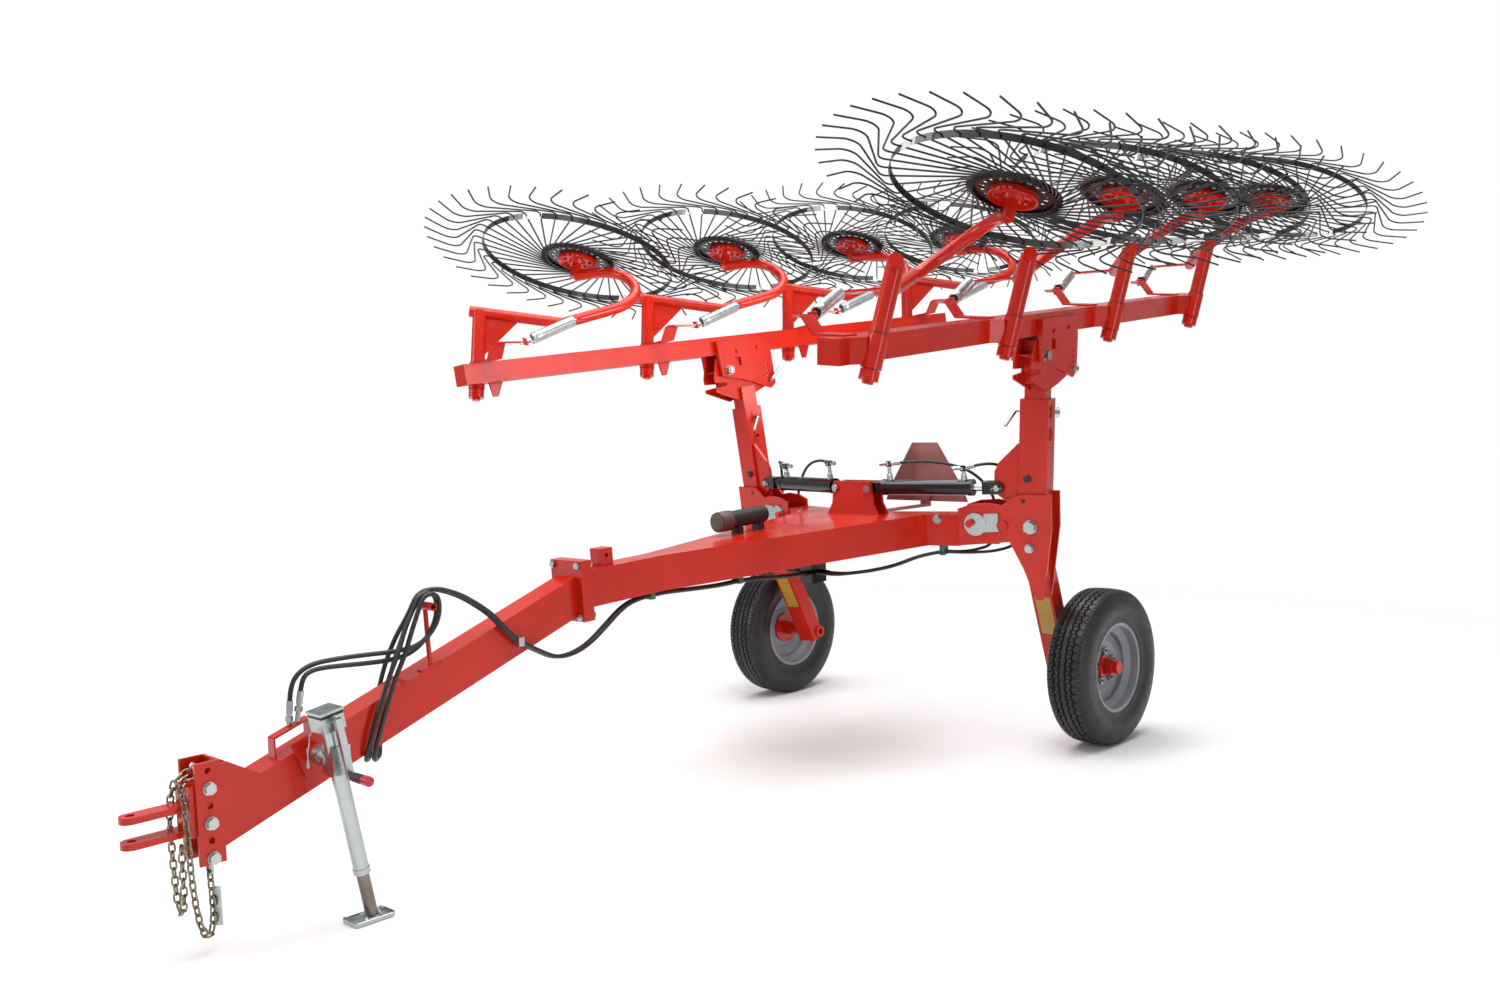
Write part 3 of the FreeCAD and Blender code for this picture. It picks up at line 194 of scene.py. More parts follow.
# %% Finishes for the steel pieces
FINISH = {"red_paint": red, "black_paint": black, "silver_paint": silver, "zinc": zinc,
          "hydraulic_black": hydraulic, "tyre": tyre_rubber, "hose_rubber": hose_rubber,
          "black_plastic": black_plastic_and_shade, "green_plastic": green}
slots = {row["node"]: row["material_slot"] for row in frame["record"]["subparts"]}
for name, obj in nodes.items():
    obj.data.materials.clear()
    obj.data.materials.append(sign_back if name == "sign_plate" else FINISH[slots[name]])
print({slot: list(slots.values()).count(slot) for slot in FINISH})

# %% [markdown]
# ## Shapes from formulas
# Every added piece is a grid of points worked out by numpy: a section carried along a path, a profile
# turned about an axis, or a ring lofted to another ring.  Several small shapes join into one mesh before
# it is made.

# %% Places and grids
ORIGIN_Y = 707.0


def mm(*point):
    """Point of the machine frame, in millimetres from the axle, as metres in the shared frame."""
    return np.array([point[0], point[1] + ORIGIN_Y, point[2]], float) / 1000.0


def unit(v):
    v = np.asarray(v, float)
    return v / np.linalg.norm(v, axis=-1, keepdims=True)


def grid_faces(rows, columns, closed_rows=False, closed_columns=True):
    """Quads between neighbouring points of a rows x columns grid, numbered row by row."""
    r = np.arange(rows if closed_rows else rows - 1)
    c = np.arange(columns if closed_columns else columns - 1)
    r, c = (a.ravel() for a in np.meshgrid(r, c, indexing="ij"))
    r1, c1 = (r + 1) % rows, (c + 1) % columns
    return np.stack([r * columns + c, r * columns + c1, r1 * columns + c1, r1 * columns + c], 1)


print("a grid of 3 rows and 4 columns closes into", len(grid_faces(3, 4)), "quads")

# %% [markdown]
# A tube needs a sideways direction at every point of its path.  Carrying one direction along, and
# squaring it to the path each time, keeps the tube from twisting, which a fixed upward direction
# wouldn't.

# %% Sections carried along a path
def side_directions(path):
    """Unit tangents, and a sideways direction carried along the path without twisting."""
    tangent = unit(np.gradient(path, axis=0))
    side = np.array((0.0, 0.0, 1.0) if abs(tangent[0][2]) < 0.9 else (1.0, 0.0, 0.0))
    sides = []
    for t in tangent:
        side = unit(side - t * np.dot(side, t))
        sides.append(side)
    return tangent, np.array(sides)


def tube_along(path, radius, sides=12, closed=False):
    """Round section of that radius (a number, or one for each point) carried along a path, with flat ends."""
    path = np.asarray(path, float)
    tangent, side = side_directions(path)
    if closed:
        tangent = unit(np.roll(path, -1, 0) - np.roll(path, 1, 0))
        side = unit(np.cross(np.cross(tangent, side), tangent))
    other = np.cross(tangent, side)
    a = np.linspace(0, 2 * math.pi, sides, endpoint=False)
    r = np.broadcast_to(np.asarray(radius, float), (len(path),))[:, None, None]
    ring = np.cos(a)[None, :, None] * side[:, None] + np.sin(a)[None, :, None] * other[:, None]
    points = (path[:, None] + r * ring).reshape(-1, 3)
    faces = [tuple(f) for f in grid_faces(len(path), sides, closed_rows=closed)]
    if not closed:
        last = (len(path) - 1) * sides
        faces += [tuple(range(sides - 1, -1, -1)), tuple(range(last, last + sides))]
    return points, faces


print("a straight tube of 12 sides has", len(tube_along([(0, 0, 0), (0, 0, 1)], 0.1)[1]), "faces")

# %% [markdown]
# Nuts, caps, seals and rims are turned on a lathe in real life, so a profile turned about an axis gives
# them.  Bolt heads have six flats and a chamfer, and plates are an outline with a thickness.

# %% Turned profiles, bolts and plates
def turned(profile, origin, axis, steps=64, closed=True):
    """Profile of (radius, distance along the axis) pairs, in metres, turned about the axis."""
    axis = unit(axis)
    side = unit(np.cross(axis, (0.0, 0.0, 1.0) if abs(axis[2]) < 0.9 else (1.0, 0.0, 0.0)))
    other = np.cross(axis, side)
    a = np.linspace(0, 2 * math.pi, steps, endpoint=False)
    around = np.cos(a)[:, None] * side + np.sin(a)[:, None] * other
    p = np.asarray(profile, float)
    points = np.asarray(origin) + p[:, None, 1:2] * axis + p[:, None, 0:1] * around[None]
    return points.reshape(-1, 3), [tuple(f) for f in grid_faces(len(p), steps, closed_rows=closed)]


def hexagon(origin, axis, flats, height):
    """Bolt head or nut: a six-sided ring that narrows to a chamfered top, closed by one face."""
    axis = unit(axis)
    side = unit(np.cross(axis, (0.0, 0.0, 1.0) if abs(axis[2]) < 0.9 else (1.0, 0.0, 0.0)))
    other = np.cross(axis, side)
    a = np.arange(6) * math.pi / 3
    around = np.cos(a)[:, None] * side + np.sin(a)[:, None] * other
    r = flats / math.sqrt(3)
    levels = [(r, 0.0), (r, height * 0.82), (r * 0.86, height)]
    points = np.concatenate([np.asarray(origin) + axis * h + around * k for k, h in levels])
    faces = [tuple(f) for f in grid_faces(3, 6)] + [(12, 13, 14, 15, 16, 17), (5, 4, 3, 2, 1, 0)]
    return points, faces


def slab(corners, thickness):
    """Flat plate: corners in order round its face, and a thickness vector."""
    a = np.asarray(corners, float)
    n = len(a)
    faces = [(k, (k + 1) % n, n + (k + 1) % n, n + k) for k in range(n)]
    return np.concatenate([a, a + thickness]), faces + [tuple(range(n - 1, -1, -1)), tuple(range(n, 2 * n))]


print("a bolt head has", len(hexagon((0, 0, 0), (0, 0, 1), 0.024, 0.012)[1]), "faces")

# %% [markdown]
# Bent wire turns through arcs.  Each inner corner of a polyline becomes the arc that touches both runs,
# so a bend is stated by its corner and its radius, as on a bending sheet.

# %% Bent wire and joined shapes
def rounded(points, radii, step=0.004):
    """Polyline whose inner corners are arcs tangent to both runs, as closely spaced points."""
    points = [np.asarray(p, float) for p in points]
    out = [points[0]]
    for a, b, c, r in zip(points, points[1:], points[2:], radii):
        u, w = unit(a - b), unit(c - b)
        half = (math.pi - math.acos(np.clip(np.dot(u, w), -1, 1))) / 2
        cut = r * math.tan(half)
        centre = b + unit(u + w) * r / math.cos(half)
        start, end = b + u * cut - centre, b + w * cut - centre
        count = max(3, int(2 * half * r / step) + 1)
        t = np.linspace(0, 1, count)[:, None]
        arc = np.sin((1 - t) * 2 * half) * start + np.sin(t * 2 * half) * end
        out += list(centre + arc / math.sin(2 * half))
    return np.array(out + [points[-1]])


def joined(shapes):
    """Several (points, faces) shapes as one."""
    points, faces, base = [], [], 0
    for p, f in shapes:
        points.append(p)
        faces += [tuple(int(k) + base for k in face) for face in f]
        base += len(p)
    return np.concatenate(points), faces


def mirrored(shape):
    points, faces = shape
    return points * (-1, 1, 1), [tuple(reversed(f)) for f in faces]


print("an elbow of 90 degrees has", len(rounded([(0, 0, 0), (1, 0, 0), (1, 1, 0)], [0.1], 0.02)), "points")

# %% [markdown]
# A finished shape becomes a mesh whose faces point outward, with its finish, and rides on the steel body
# it is fixed to.  The two sides of the machine mirror each other, so most pieces are made once and
# mirrored.

# %% Making a piece
def piece(name, shape, finish, body, smooth=30, replaces=()):
    """Makes the mesh, turns its faces outward, gives it its finish, and lets it ride on a CAD body."""
    points, faces = shape
    mesh = bpy.data.meshes.new(name)
    mesh.from_pydata(points.tolist(), [], faces)
    work = bmesh.new()
    work.from_mesh(mesh)
    bmesh.ops.recalc_face_normals(work, faces=work.faces)
    work.to_mesh(mesh)
    work.free()
    mesh.materials.append(finish)
    obj = bpy.data.objects.new(name, mesh)
    bpy.context.scene.collection.objects.link(obj)
    mesh.shade_smooth()
    mesh.set_sharp_from_angle(angle=math.radians(smooth))
    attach(obj, body)
    if replaces:
        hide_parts(*replaces)
    return obj


SIDES = (("left", 1), ("right", -1))


def pair(name, shape, finish, body, smooth=30, replaces=()):
    """The left piece and its mirror image; {} in a name stands for the side."""
    for side, sign in SIDES:
        own = shape if sign > 0 else mirrored(shape)
        piece(name + "_" + side, own, finish, body.format(side), smooth,
              [node.format(side) for node in replaces])


print("sides:", [side for side, sign in SIDES])

# %% [markdown]
# The legs, posts, beams and cylinders all stand at a slant.  Each gets its own small frame, so that bolts
# and pins on it can be placed by their distances along and across it.

# %% Tilted frames of the machine
def frame_at(origin, x, z):
    """Point and axes of a tilted frame, to place local points with."""
    z = unit(z)
    y = unit(np.cross(z, x))
    return mm(*origin), np.array([np.cross(y, z), y, z])


def local(where, *point):
    origin, axes = where
    return origin + np.array(point, float) @ axes / 1000.0


sweep, lean = math.radians(13.0), math.radians(5.0)
OUT = np.array([math.cos(sweep), math.sin(sweep), 0.0])
UP = np.array([math.sin(sweep) * math.sin(lean), -math.cos(sweep) * math.sin(lean), math.cos(lean)])
PLATES = frame_at((820, -354, 989), OUT, UP)
BACK = PLATES[1][1]
CYLINDER = frame_at((83, -505, 1157), OUT, UP)
tip = math.radians(4.2)
POST = frame_at(np.array((820, -354, 989)) + BACK * 62, OUT * math.cos(tip) - UP * math.sin(tip),
                UP * math.cos(tip) + OUT * math.sin(tip))
ALONG = unit((-83, 951, 79))
roll = math.radians(5.5)
raised = np.array([math.sin(roll), 0, math.cos(roll)])
raised = unit(raised - ALONG * np.dot(raised, ALONG))
BEAM = frame_at((1049, -1920, 1724), np.cross(ALONG, raised), raised)
ARM_STEP = np.array((-83.0, 951.0, 79.0))
MAIN = frame_at((0, -2167, 897), (1, 0, 0), (0, -math.sin(math.radians(2.35)), math.cos(math.radians(2.35))))

print("the cart's arms sweep", round(math.degrees(sweep)), "degrees and lean", round(math.degrees(lean)))

# %% [markdown]
# ## Tyres
# A road tyre's section is turned about the axle.  A formula presses the tread into it: four grooves waver
# round the crown, and short cuts cross the ribs and shoulders.  That is one mesh, with no blocks to line
# up.

# %% Tyres
TYRE_R = 344.0
AROUND = 720


def tyre(side_sign):
    """Section radius from a list of points, less the deepest of the grooves and cuts at each place."""
    half = [(188.5, 66), (207.5, 70.5), (208, 80.8), (197, 80.8), (199, 83), (212, 83.6), (232, 87.5),
            (246, 92), (262, 94.5), (281, 95), (300, 92), (316, 88), (327, 83), (335, 76.5), (339.5, 69)]
    r, x = np.array(half).T
    t = np.linspace(0, len(half) - 1, 3 * len(half) - 2)
    wall_r, wall_x = np.interp(t, np.arange(len(half)), r), np.interp(t, np.arange(len(half)), x)
    tread_x = np.linspace(68, -68, 69)
    tread_r = 344.0 - 4.3 * (np.abs(tread_x) / 68) ** 2.4
    inner_x = np.array([-60, -84, -78, 0, 78, 84, 60.0])
    inner_r = np.array([206, 262, 302, 322, 302, 262, 206.0])
    xs = np.concatenate([wall_x, tread_x, -wall_x[::-1], inner_x])
    rs = np.concatenate([wall_r, tread_r, wall_r[::-1], inner_r])
    a = np.linspace(0, 2 * math.pi, AROUND, endpoint=False)
    x, angle = np.meshgrid(xs, a, indexing="ij")
    radius = np.repeat(rs[:, None], AROUND, 1)
    arc = angle * TYRE_R
    waver = 2.6 * np.sign(np.sin(angle * 60))
    depth = np.zeros_like(x)
    for middle, sway in ((-42, 1), (-15, 0.6), (15, -0.6), (42, -1)):
        away = np.abs(x - middle - waver * sway)
        depth = np.maximum(depth, 7.5 * np.clip((4.6 - away) / 1.6, 0, 1))
    cut = np.abs((arc / 36.0 + 0.25 * np.sign(x)) % 1 - 0.5) * 36.0
    on_rib = (np.abs(x) > 46) & (np.abs(x) < 64)
    depth = np.maximum(depth, 4.5 * np.clip((17.2 - cut) / -1.5 + 1, 0, 1) * on_rib)
    cut = np.abs((arc / 18.0) % 1 - 0.5) * 18.0
    depth = np.maximum(depth, 3.0 * (cut > 7.6) * ((np.abs(x) > 18) & (np.abs(x) < 38)))
    crown = radius > 330
    shoulder = (radius > 312) & (radius < 342) & (np.abs(x) > 64)
    notch = np.abs((arc / 18.0 + 0.25 * np.sign(x)) % 1 - 0.5) > 0.37
    radius = radius - depth * crown - 3.2 * shoulder * notch
    y, z = radius * np.cos(angle), radius * np.sin(angle)
    points = np.stack([side_sign * (952 + x), y + ORIGIN_Y, z + TYRE_R], -1).reshape(-1, 3) / 1000.0
    return points, grid_faces(len(xs), AROUND, closed_rows=True).tolist()


for side, sign in SIDES:
    made = piece("road_tyre_" + side, tyre(sign), tyre_rubber, "wheel_" + side, 28, ["tyre_" + side])
    print(made.name, len(made.data.polygons), "faces")

# %% [markdown]
# ## Finger wheels
# Forty spring tines lie almost flat in each wheel.  Each leaves the slotted disc aslant, bends once near
# the band that holds it, and bends back at a knee to its raking tip.  One tine is made and turned forty
# times.

# %% Finger wheels
WHEEL_NORMAL = unit((0.079, 0.347, 0.934))
WHEEL_MIDDLE = np.array((1236.0, -1079.0, 2283.0))
TINES = 40


def wheel_frame(i):
    x = np.array((1.0, 0, 0)) - WHEEL_NORMAL * WHEEL_NORMAL[0]
    return frame_at(WHEEL_MIDDLE + ARM_STEP * i, unit(x), WHEEL_NORMAL)


def polar(r, degrees, lift=0.0):
    a = math.radians(degrees)
    return np.array((r * math.cos(a), r * math.sin(a), lift)) / 1000.0


def tine_ring():
    """One tine's centre line with its three bends, turned to forty places round the wheel."""
    bends = [polar(150, 57.5, -5.5), polar(506, -1.9, 0), polar(609, 27.3, 0), polar(741, 19.5, 0)]
    points, faces = tube_along(rounded(bends, [0.020, 0.055], 0.009), 0.0039, 6)
    turns = []
    for k in range(TINES):
        a = 2 * math.pi * k / TINES
        spin = np.array([[math.cos(a), math.sin(a), 0], [-math.sin(a), math.cos(a), 0], [0, 0, 1]])
        turns.append((points @ spin, faces))
    return joined(turns)


print(len(tine_ring()[1]), "faces in a ring of", TINES, "tines")

# %% [markdown]
# A slotted plate holds the tines' inner ends, with a hexagon at each tine.  The plate is cut from a flat
# ring of small sectors by leaving sectors out, which keeps its walls square.

# %% Slotted disc
def slotted_disc():
    """Flat ring of small sectors, open where the angle falls on one of twenty slots, walled at every edge."""
    steps, radii = 240, np.array([86, 110, 126, 150, 177]) / 1000.0
    a = np.linspace(0, 2 * math.pi, steps, endpoint=False)
    r = radii[:, None]
    flat_ring = np.stack([r * np.cos(a), r * np.sin(a), 0 * r * a], -1)
    quads = grid_faces(len(radii), steps)
    row, column = np.divmod(np.arange(len(quads)), steps)
    keep = quads[~((row == 1) & (column % 12 < 7))]
    top, bottom = flat_ring.reshape(-1, 3) + (0, 0, 0.0045), flat_ring.reshape(-1, 3) - (0, 0, 0.0015)
    edges = np.concatenate([keep[:, [k, (k + 1) % 4]] for k in range(4)])
    order = np.unique(np.sort(edges, 1), axis=0, return_index=True, return_counts=True)
    rim_edges = edges[order[1][order[2] == 1]]
    count = len(top)
    walls = np.stack([rim_edges[:, 1], rim_edges[:, 0], rim_edges[:, 0] + count, rim_edges[:, 1] + count], 1)
    plate = np.concatenate([top, bottom]), np.concatenate([keep, keep[:, ::-1] + count, walls]).tolist()
    clamps = [hexagon(polar(153, 54 + 9 * k, -7), (0, 0, -1), 0.013, 0.005) for k in range(TINES)]
    return joined([plate] + clamps)


print(len(slotted_disc()[1]), "faces in a disc")

# %% [markdown]
# A flat band holds the tines partway out, and a pressed red bowl carries the hub bolts.  White and grey
# shells on the band are a painted highlight, where the glossy band glints.

# %% Band, hub and tape
def band():
    """Flat strip stood on edge: a thin rectangle turned about the wheel's axis."""
    section = [(0.4595, -0.0135), (0.4625, -0.0135), (0.4625, 0.0135), (0.4595, 0.0135)]
    return turned(section, (0, 0, 0), (0, 0, 1), 160)


def hub_dish():
    """Pressed red bowl with a thin rim below and a boss in its middle, six bolts and an axle nut."""
    bowl = turned([(0.020, -0.028), (0.033, -0.028), (0.041, -0.010), (0.076, -0.008), (0.088, -0.024),
                   (0.0915, -0.0265), (0.0940, -0.0245), (0.0900, 0.008), (0.060, 0.010), (0.045, 0.020),
                   (0.020, 0.022)], (0, 0, 0), (0, 0, 1), 72)
    shapes = [bowl]
    for k in range(6):
        spot = polar(60, 60 * k + 12)
        shapes += [hexagon(spot + (0, 0, 0.009), (0, 0, 1), 0.016, 0.009),
                   hexagon(spot - (0, 0, 0.0085), (0, 0, -1), 0.016, 0.009)]
    return joined(shapes + [hexagon((0, 0, 0.022), (0, 0, 1), 0.036, 0.014)])


def patches(starts, degrees):
    """Painted highlight: thin pale shells wrapped round the band, over the given stretches of its turn."""
    shapes = []
    for start in starts:
        a = np.radians(np.linspace(start, start + degrees, 12))
        shell = [[(r * math.cos(t), r * math.sin(t), h) for t in a] for r, h in
                 ((0.4631, -0.0139), (0.4631, 0.0139), (0.4589, 0.0139), (0.4589, -0.0139))]
        grid = np.array(shell).reshape(-1, 3)
        faces = grid_faces(4, len(a), closed_rows=True, closed_columns=False).tolist()
        shapes.append((grid, faces))
    return joined(shapes)


print(len(hub_dish()[1]), "faces in a hub")

# %% [markdown]
# Each kind of part is made once, then turned into the tilt of its wheel and moved to its hub.  The points
# move and the objects stay at the origin, so the finishes don't slide.

# %% The eight finger wheels
parts = {"tines": (tine_ring(), tine_steel, "black_paint"),
         "disc": (slotted_disc(), tine_steel, "black_paint"),
         "band": (band(), black, "black_paint"), "hub": (hub_dish(), red, "red_paint"),
         # Painted highlight on the band: white, then a grey fade.
         "tape": (patches((242, 69), 12), band_highlight_white, "black_paint"),
         "grey_tape": (patches((254.2, 81.2), 10.5), grey_tape, "black_paint")}
for i in range(4):
    origin, turn = wheel_frame(i)
    for kind, (shape, finish, slot_name) in parts.items():
        placed = (shape[0] @ turn + origin, shape[1])
        for side, sign in SIDES:
            own = placed if sign > 0 else mirrored(placed)
            node = ["rake_wheel_%d_%s" % (i + 1, side)] if kind == "tines" else []
            name = "finger_wheel_%d_%s_%s" % (i + 1, kind, side)
            piece(name, own, finish, "rake_%s_%d" % (side, i + 1), 40, node)

# %% [markdown]
# ## Float springs
# Each spring is a helix.  Its wire is thicker than its 5 mm pitch, so neighbouring turns run into each
# other and only fine ribs show.  The last turns shrink into the hook, and a dark plug with the eye bolt
# closes the bottom.

# %% Float springs
COIL_R, WIRE_R, TURN = 20.9, 4.0, 5.0


def spring(i):
    """Helix: a circle of the coil's radius carried along the spring's line, which shrinks at the hook."""
    low = mm(*(np.array((815, -1699, 1873)) + ARM_STEP * i))
    top = mm(*(np.array((760, -1497, 1955)) + ARM_STEP * i))
    axis, length = unit(top - low), np.linalg.norm(top - low) - 0.010
    side = unit(np.cross(axis, (0, 0, 1)))
    other = np.cross(axis, side)
    turns = length * 1000 / TURN
    a = np.linspace(0, turns * 2 * math.pi, int(turns * 20))
    share = a / a[-1]
    r = COIL_R / 1000 * np.clip((1 - share) * 18 + 0.35, 0.35, 1)
    around = np.cos(a)[:, None] * side + np.sin(a)[:, None] * other
    path = low + (share * length)[:, None] * axis + r[:, None] * around
    coil = tube_along(path, WIRE_R / 1000, 6)
    end = top - axis * 0.008
    bend = end + axis * 0.012
    hook = rounded([end - axis * 0.02, bend, bend + side * 0.012, end + side * 0.012], [0.004, 0.004], 0.002)
    bolt_line = np.array([low - axis * 0.060, low + axis * 0.020])
    plug = turned([(0.0005, 0.012), (0.0200, 0.012), (0.0200, 0.026), (0.0005, 0.026)], low, axis, 24, False)
    return joined([coil, tube_along(hook, 0.0028, 8), tube_along(bolt_line, 0.005, 12),
                   hexagon(low - axis * 0.048, axis, 0.017, 0.010)]), plug


springs = [spring(i) for i in range(4)]
pair("float_spring_coils", joined([s[0] for s in springs]), bright_wire, "wing_{}", 50,
     ["float_springs_{}"])
pair("float_spring_plugs", joined([s[1] for s in springs]), black_plastic_and_shade, "wing_{}")

# %% [markdown]
# ## Hoses
# Two supply hoses climb from the couplers, drop in a loop over the drawbar, and run back under the frame.
# Short ones leave the cylinders' ports and dive behind the legs.  The routes are the points a fitter
# would choose, in millimetres, and the short ones are given beside the cylinder, so that they follow its
# slant.

# %% Hoses
PRESSURE = [(-8, -3330, 690), (-8, -3325, 735), (-7, -3296, 775), (-5, -3245, 795), (0, -3160, 797),
            (12, -3060, 795), (25, -2960, 790), (38, -2880, 800), (44, -2822, 850), (46, -2800, 905),
            (46, -2806, 965), (48, -2862, 968), (52, -2890, 915), (60, -2925, 850), (70, -2960, 780),
            (74, -3010, 700), (76, -3045, 615), (76, -3082, 520), (66, -3096, 455), (0, -3030, 450),
            (-66, -2990, 470), (-76, -2975, 545), (-74, -2950, 640), (-66, -2920, 740), (-45, -2890, 830),
            (-24, -2872, 905), (-20, -2850, 960), (-16, -2795, 978), (6, -2715, 950), (30, -2655, 908),
            (56, -2605, 862), (68, -2562, 805), (68, -2508, 756), (62, -2425, 712), (50, -2335, 668),
            (40, -2240, 668), (32, -2155, 695), (26, -2072, 745), (22, -1988, 800), (20, -1908, 827),
            (20, -1841, 830)]
RETURN = [(8, -3300, 718), (8, -3293, 756), (8, -3262, 776), (9, -3215, 778), (12, -3150, 774),
          (16, -3070, 768), (20, -2980, 764), (10, -2895, 772), (6, -2822, 822), (12, -2790, 890),
          (22, -2800, 966), (30, -2864, 972), (34, -2897, 922), (48, -2940, 866), (66, -2977, 800),
          (75, -3030, 712), (77, -3066, 628), (77, -3104, 530), (64, -3124, 460), (-8, -3062, 452),
          (-68, -3026, 478), (-77, -3008, 552), (-76, -2980, 645), (-69, -2950, 742), (-44, -2922, 826),
          (-6, -2892, 900), (-2, -2862, 958), (2, -2797, 982), (24, -2715, 954), (48, -2655, 912),
          (74, -2605, 866), (86, -2562, 808), (86, -2508, 758), (80, -2425, 714), (68, -2335, 670),
          (58, -2240, 670), (50, -2155, 697), (44, -2072, 747), (40, -1988, 802), (38, -1908, 827),
          (38, -1841, 830)]
CRIMP = 0.050
INNER_ELBOW = (95, 107, 50, (200, 42, 112))
OUTER_ELBOW = (451, 85, 403, (540, 24, 102))
INNER = [(200, 42, 112), (270, 62, 106), (350, 85, 92), (430, 105, 62), (490, 117, 12), (532, 119, -50),
         (545, 118, -100), (545, 118, -150)]
OUTER = [(540, 24, 102), (590, 62, 92), (635, 98, 55), (664, 115, 0), (680, 118, -60), (680, 118, -150)]


def cylinder_route(elbow_at, points):
    """The crimp's open end, then the points beside the cylinder, to a tenth of a millimetre."""
    h, up, _, toward = elbow_at
    corner = local(CYLINDER, h, 0, up)
    start = corner + unit(local(CYLINDER, *toward) - corner) * CRIMP
    return np.round([start] + [local(CYLINDER, *point) for point in points], 4).tolist()


print("points on each hose:", [len(route) for route in (PRESSURE, RETURN, INNER, OUTER)])

# %% [markdown]
# A hose is a curve with a round bevel.  A quadratic spline suits it, because a quadratic touches every
# run of its route and never swings past a bend, as stiff hose doesn't.  Each is given the length measured
# along its route.

# %% Hoses in place
def hose(name, route, radius, length, body, node):
    """Quadratic spline whose control points are the route's points; it touches the middle of every run."""
    curve = bpy.data.curves.new(name, "CURVE")
    curve.dimensions = "3D"
    spline = curve.splines.new("NURBS")
    spline.points.add(len(route) - 1)
    spline.points.foreach_set("co", np.column_stack([route, np.ones(len(route))]).ravel())
    spline.order_u = 3
    spline.use_endpoint_u = True
    spline.resolution_u = 8
    curve.bevel_depth, curve.bevel_resolution, curve.use_fill_caps = radius, 5, True
    curve.materials.append(hose_rubber)
    obj = bpy.data.objects.new(name, curve)
    bpy.context.scene.collection.objects.link(obj)
    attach(obj, body)
    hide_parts(node)
    print(name, length, "m")


hose("supply_hose_pressure", [mm(*point) for point in PRESSURE], 0.008, 3.145, "frame", "pressure_hose")
hose("supply_hose_return", [mm(*point) for point in RETURN], 0.008, 3.154, "frame", "return_hose")
for side, sign in SIDES:
    for route, length, which in ((cylinder_route(INNER_ELBOW, INNER), 0.562, "inner"),
                                 (cylinder_route(OUTER_ELBOW, OUTER), 0.389, "outer")):
        own = [(sign * x, y, z) for x, y, z in route]
        hose("cylinder_hose_%s_%s" % (which, side), own, 0.0065, length, "cylinder_" + side,
             "cylinder_hoses_" + side)

# %% [markdown]
# ## Safety chains
# Links are closed round wires.  They follow a route at their own pitch, and every other link is turned by
# a right angle, as a hanging chain's are.  The links are made one by one, since welded links can't be
# stretched.

# %% Chains
NEAR_CHAIN = [(26, -3633, 262), (48, -3642, 214), (52, -3642, 150), (50, -3642, 92), (58, -3662, 44),
              (72, -3690, 90), (75, -3704, 173), (66, -3706, 256), (60, -3706, 350), (54, -3706, 440),
              (38, -3704, 488), (24, -3700, 524), (20, -3668, 522), (18, -3630, 516)]
FAR_CHAIN = [(-36, -3636, 552), (-25, -3655, 536), (-14, -3700, 524), (-34, -3706, 480),
             (-56, -3706, 436), (-62, -3705, 370), (-62, -3704, 300), (-60, -3703, 225),
             (-56, -3702, 155), (-30, -3702, 100), (-4, -3702, 155), (0, -3703, 225), (2, -3703, 285),
             (2, -3703, 338)]
PITCH, LINK_LONG, LINK_WIDE, WIRE = 25.5, 39.0, 25.0, 7.0


def link_loop(centre, along, across, long, wide, wire, sides=6):
    """Closed wire: two half circles joined by straights, in the plane of along and across."""
    end, half = (wide - wire) / 2, (long - wide) / 2
    a = np.linspace(-math.pi / 2, math.pi / 2, 6)
    loop = np.concatenate([np.stack([half + end * np.cos(a), end * np.sin(a)], 1),
                           np.stack([-half - end * np.cos(a), -end * np.sin(a)], 1)]) / 1000.0
    return tube_along(centre + loop[:, :1] * along + loop[:, 1:] * across, wire / 2000.0, sides, True)


def bend_radii(points, share=0.45):
    """The widest arcs that leave a little straight in every run."""
    points = np.array(points)
    back, on = points[:-2] - points[1:-1], points[2:] - points[1:-1]
    turn = np.arccos(np.clip(-np.sum(unit(back) * unit(on), 1), -1, 1))
    return share * np.minimum(np.linalg.norm(back, axis=1), np.linalg.norm(on, axis=1)) / np.tan(turn / 2)


def chain(route, pitch=PITCH, long=LINK_LONG, wide=LINK_WIDE, wire=WIRE):
    line = rounded(route, bend_radii(route), 0.003)
    tangent, side = side_directions(line)
    at = np.concatenate([[0], np.cumsum(np.linalg.norm(np.diff(line, axis=0), axis=1))])
    shapes = []
    for k, s in enumerate(np.arange(pitch / 2000.0, at[-1], pitch / 1000.0)):
        i = int(np.searchsorted(at, s))
        centre = np.array([np.interp(s, at, line[:, axis]) for axis in range(3)])
        t, a = tangent[i], side[i]
        b = np.cross(t, a)
        across = unit(a + b) if k % 2 else unit(a - b)
        shapes.append(link_loop(centre, t, across, long, wide, wire))
    return joined(shapes)


loops = [chain([mm(*point) for point in route]) for route in (NEAR_CHAIN, FAR_CHAIN)]
made = piece("safety_chain_links", joined(loops), chain_steel, "frame", 60, ["safety_chains"])
print(made.name, len(made.data.polygons), "faces")

shackle = rounded([mm(16, -3632, 285), mm(16, -3632, 226), mm(40, -3632, 226), mm(40, -3632, 285)],
                  [0.0115, 0.0115], 0.003)
tag = slab([mm(47, -3640, 78), mm(66, -3622, 78), mm(66, -3622, 196), mm(47, -3640, 196)],
           np.array((-0.0025, 0.0027, 0.0)))
piece("chain_shackle", joined([tube_along(shackle, 0.0055, 10), tag]), zinc, "frame", 40)

# %% [markdown]
# ## Road wheel trim
# Five nuts on dark studs, the hub's red flange with a lobe at each stud, and thin black patches at the edge
# of the pressed disc, which are painted shade for its vent slots.  A cosine gives the lobes, which is
# shorter than an outline with fifteen arcs.

# %% Road wheel trim
def on_wheel(x, r, degrees):
    a = math.radians(degrees)
    return mm(952 + x, r * math.cos(a), 344 + r * math.sin(a))


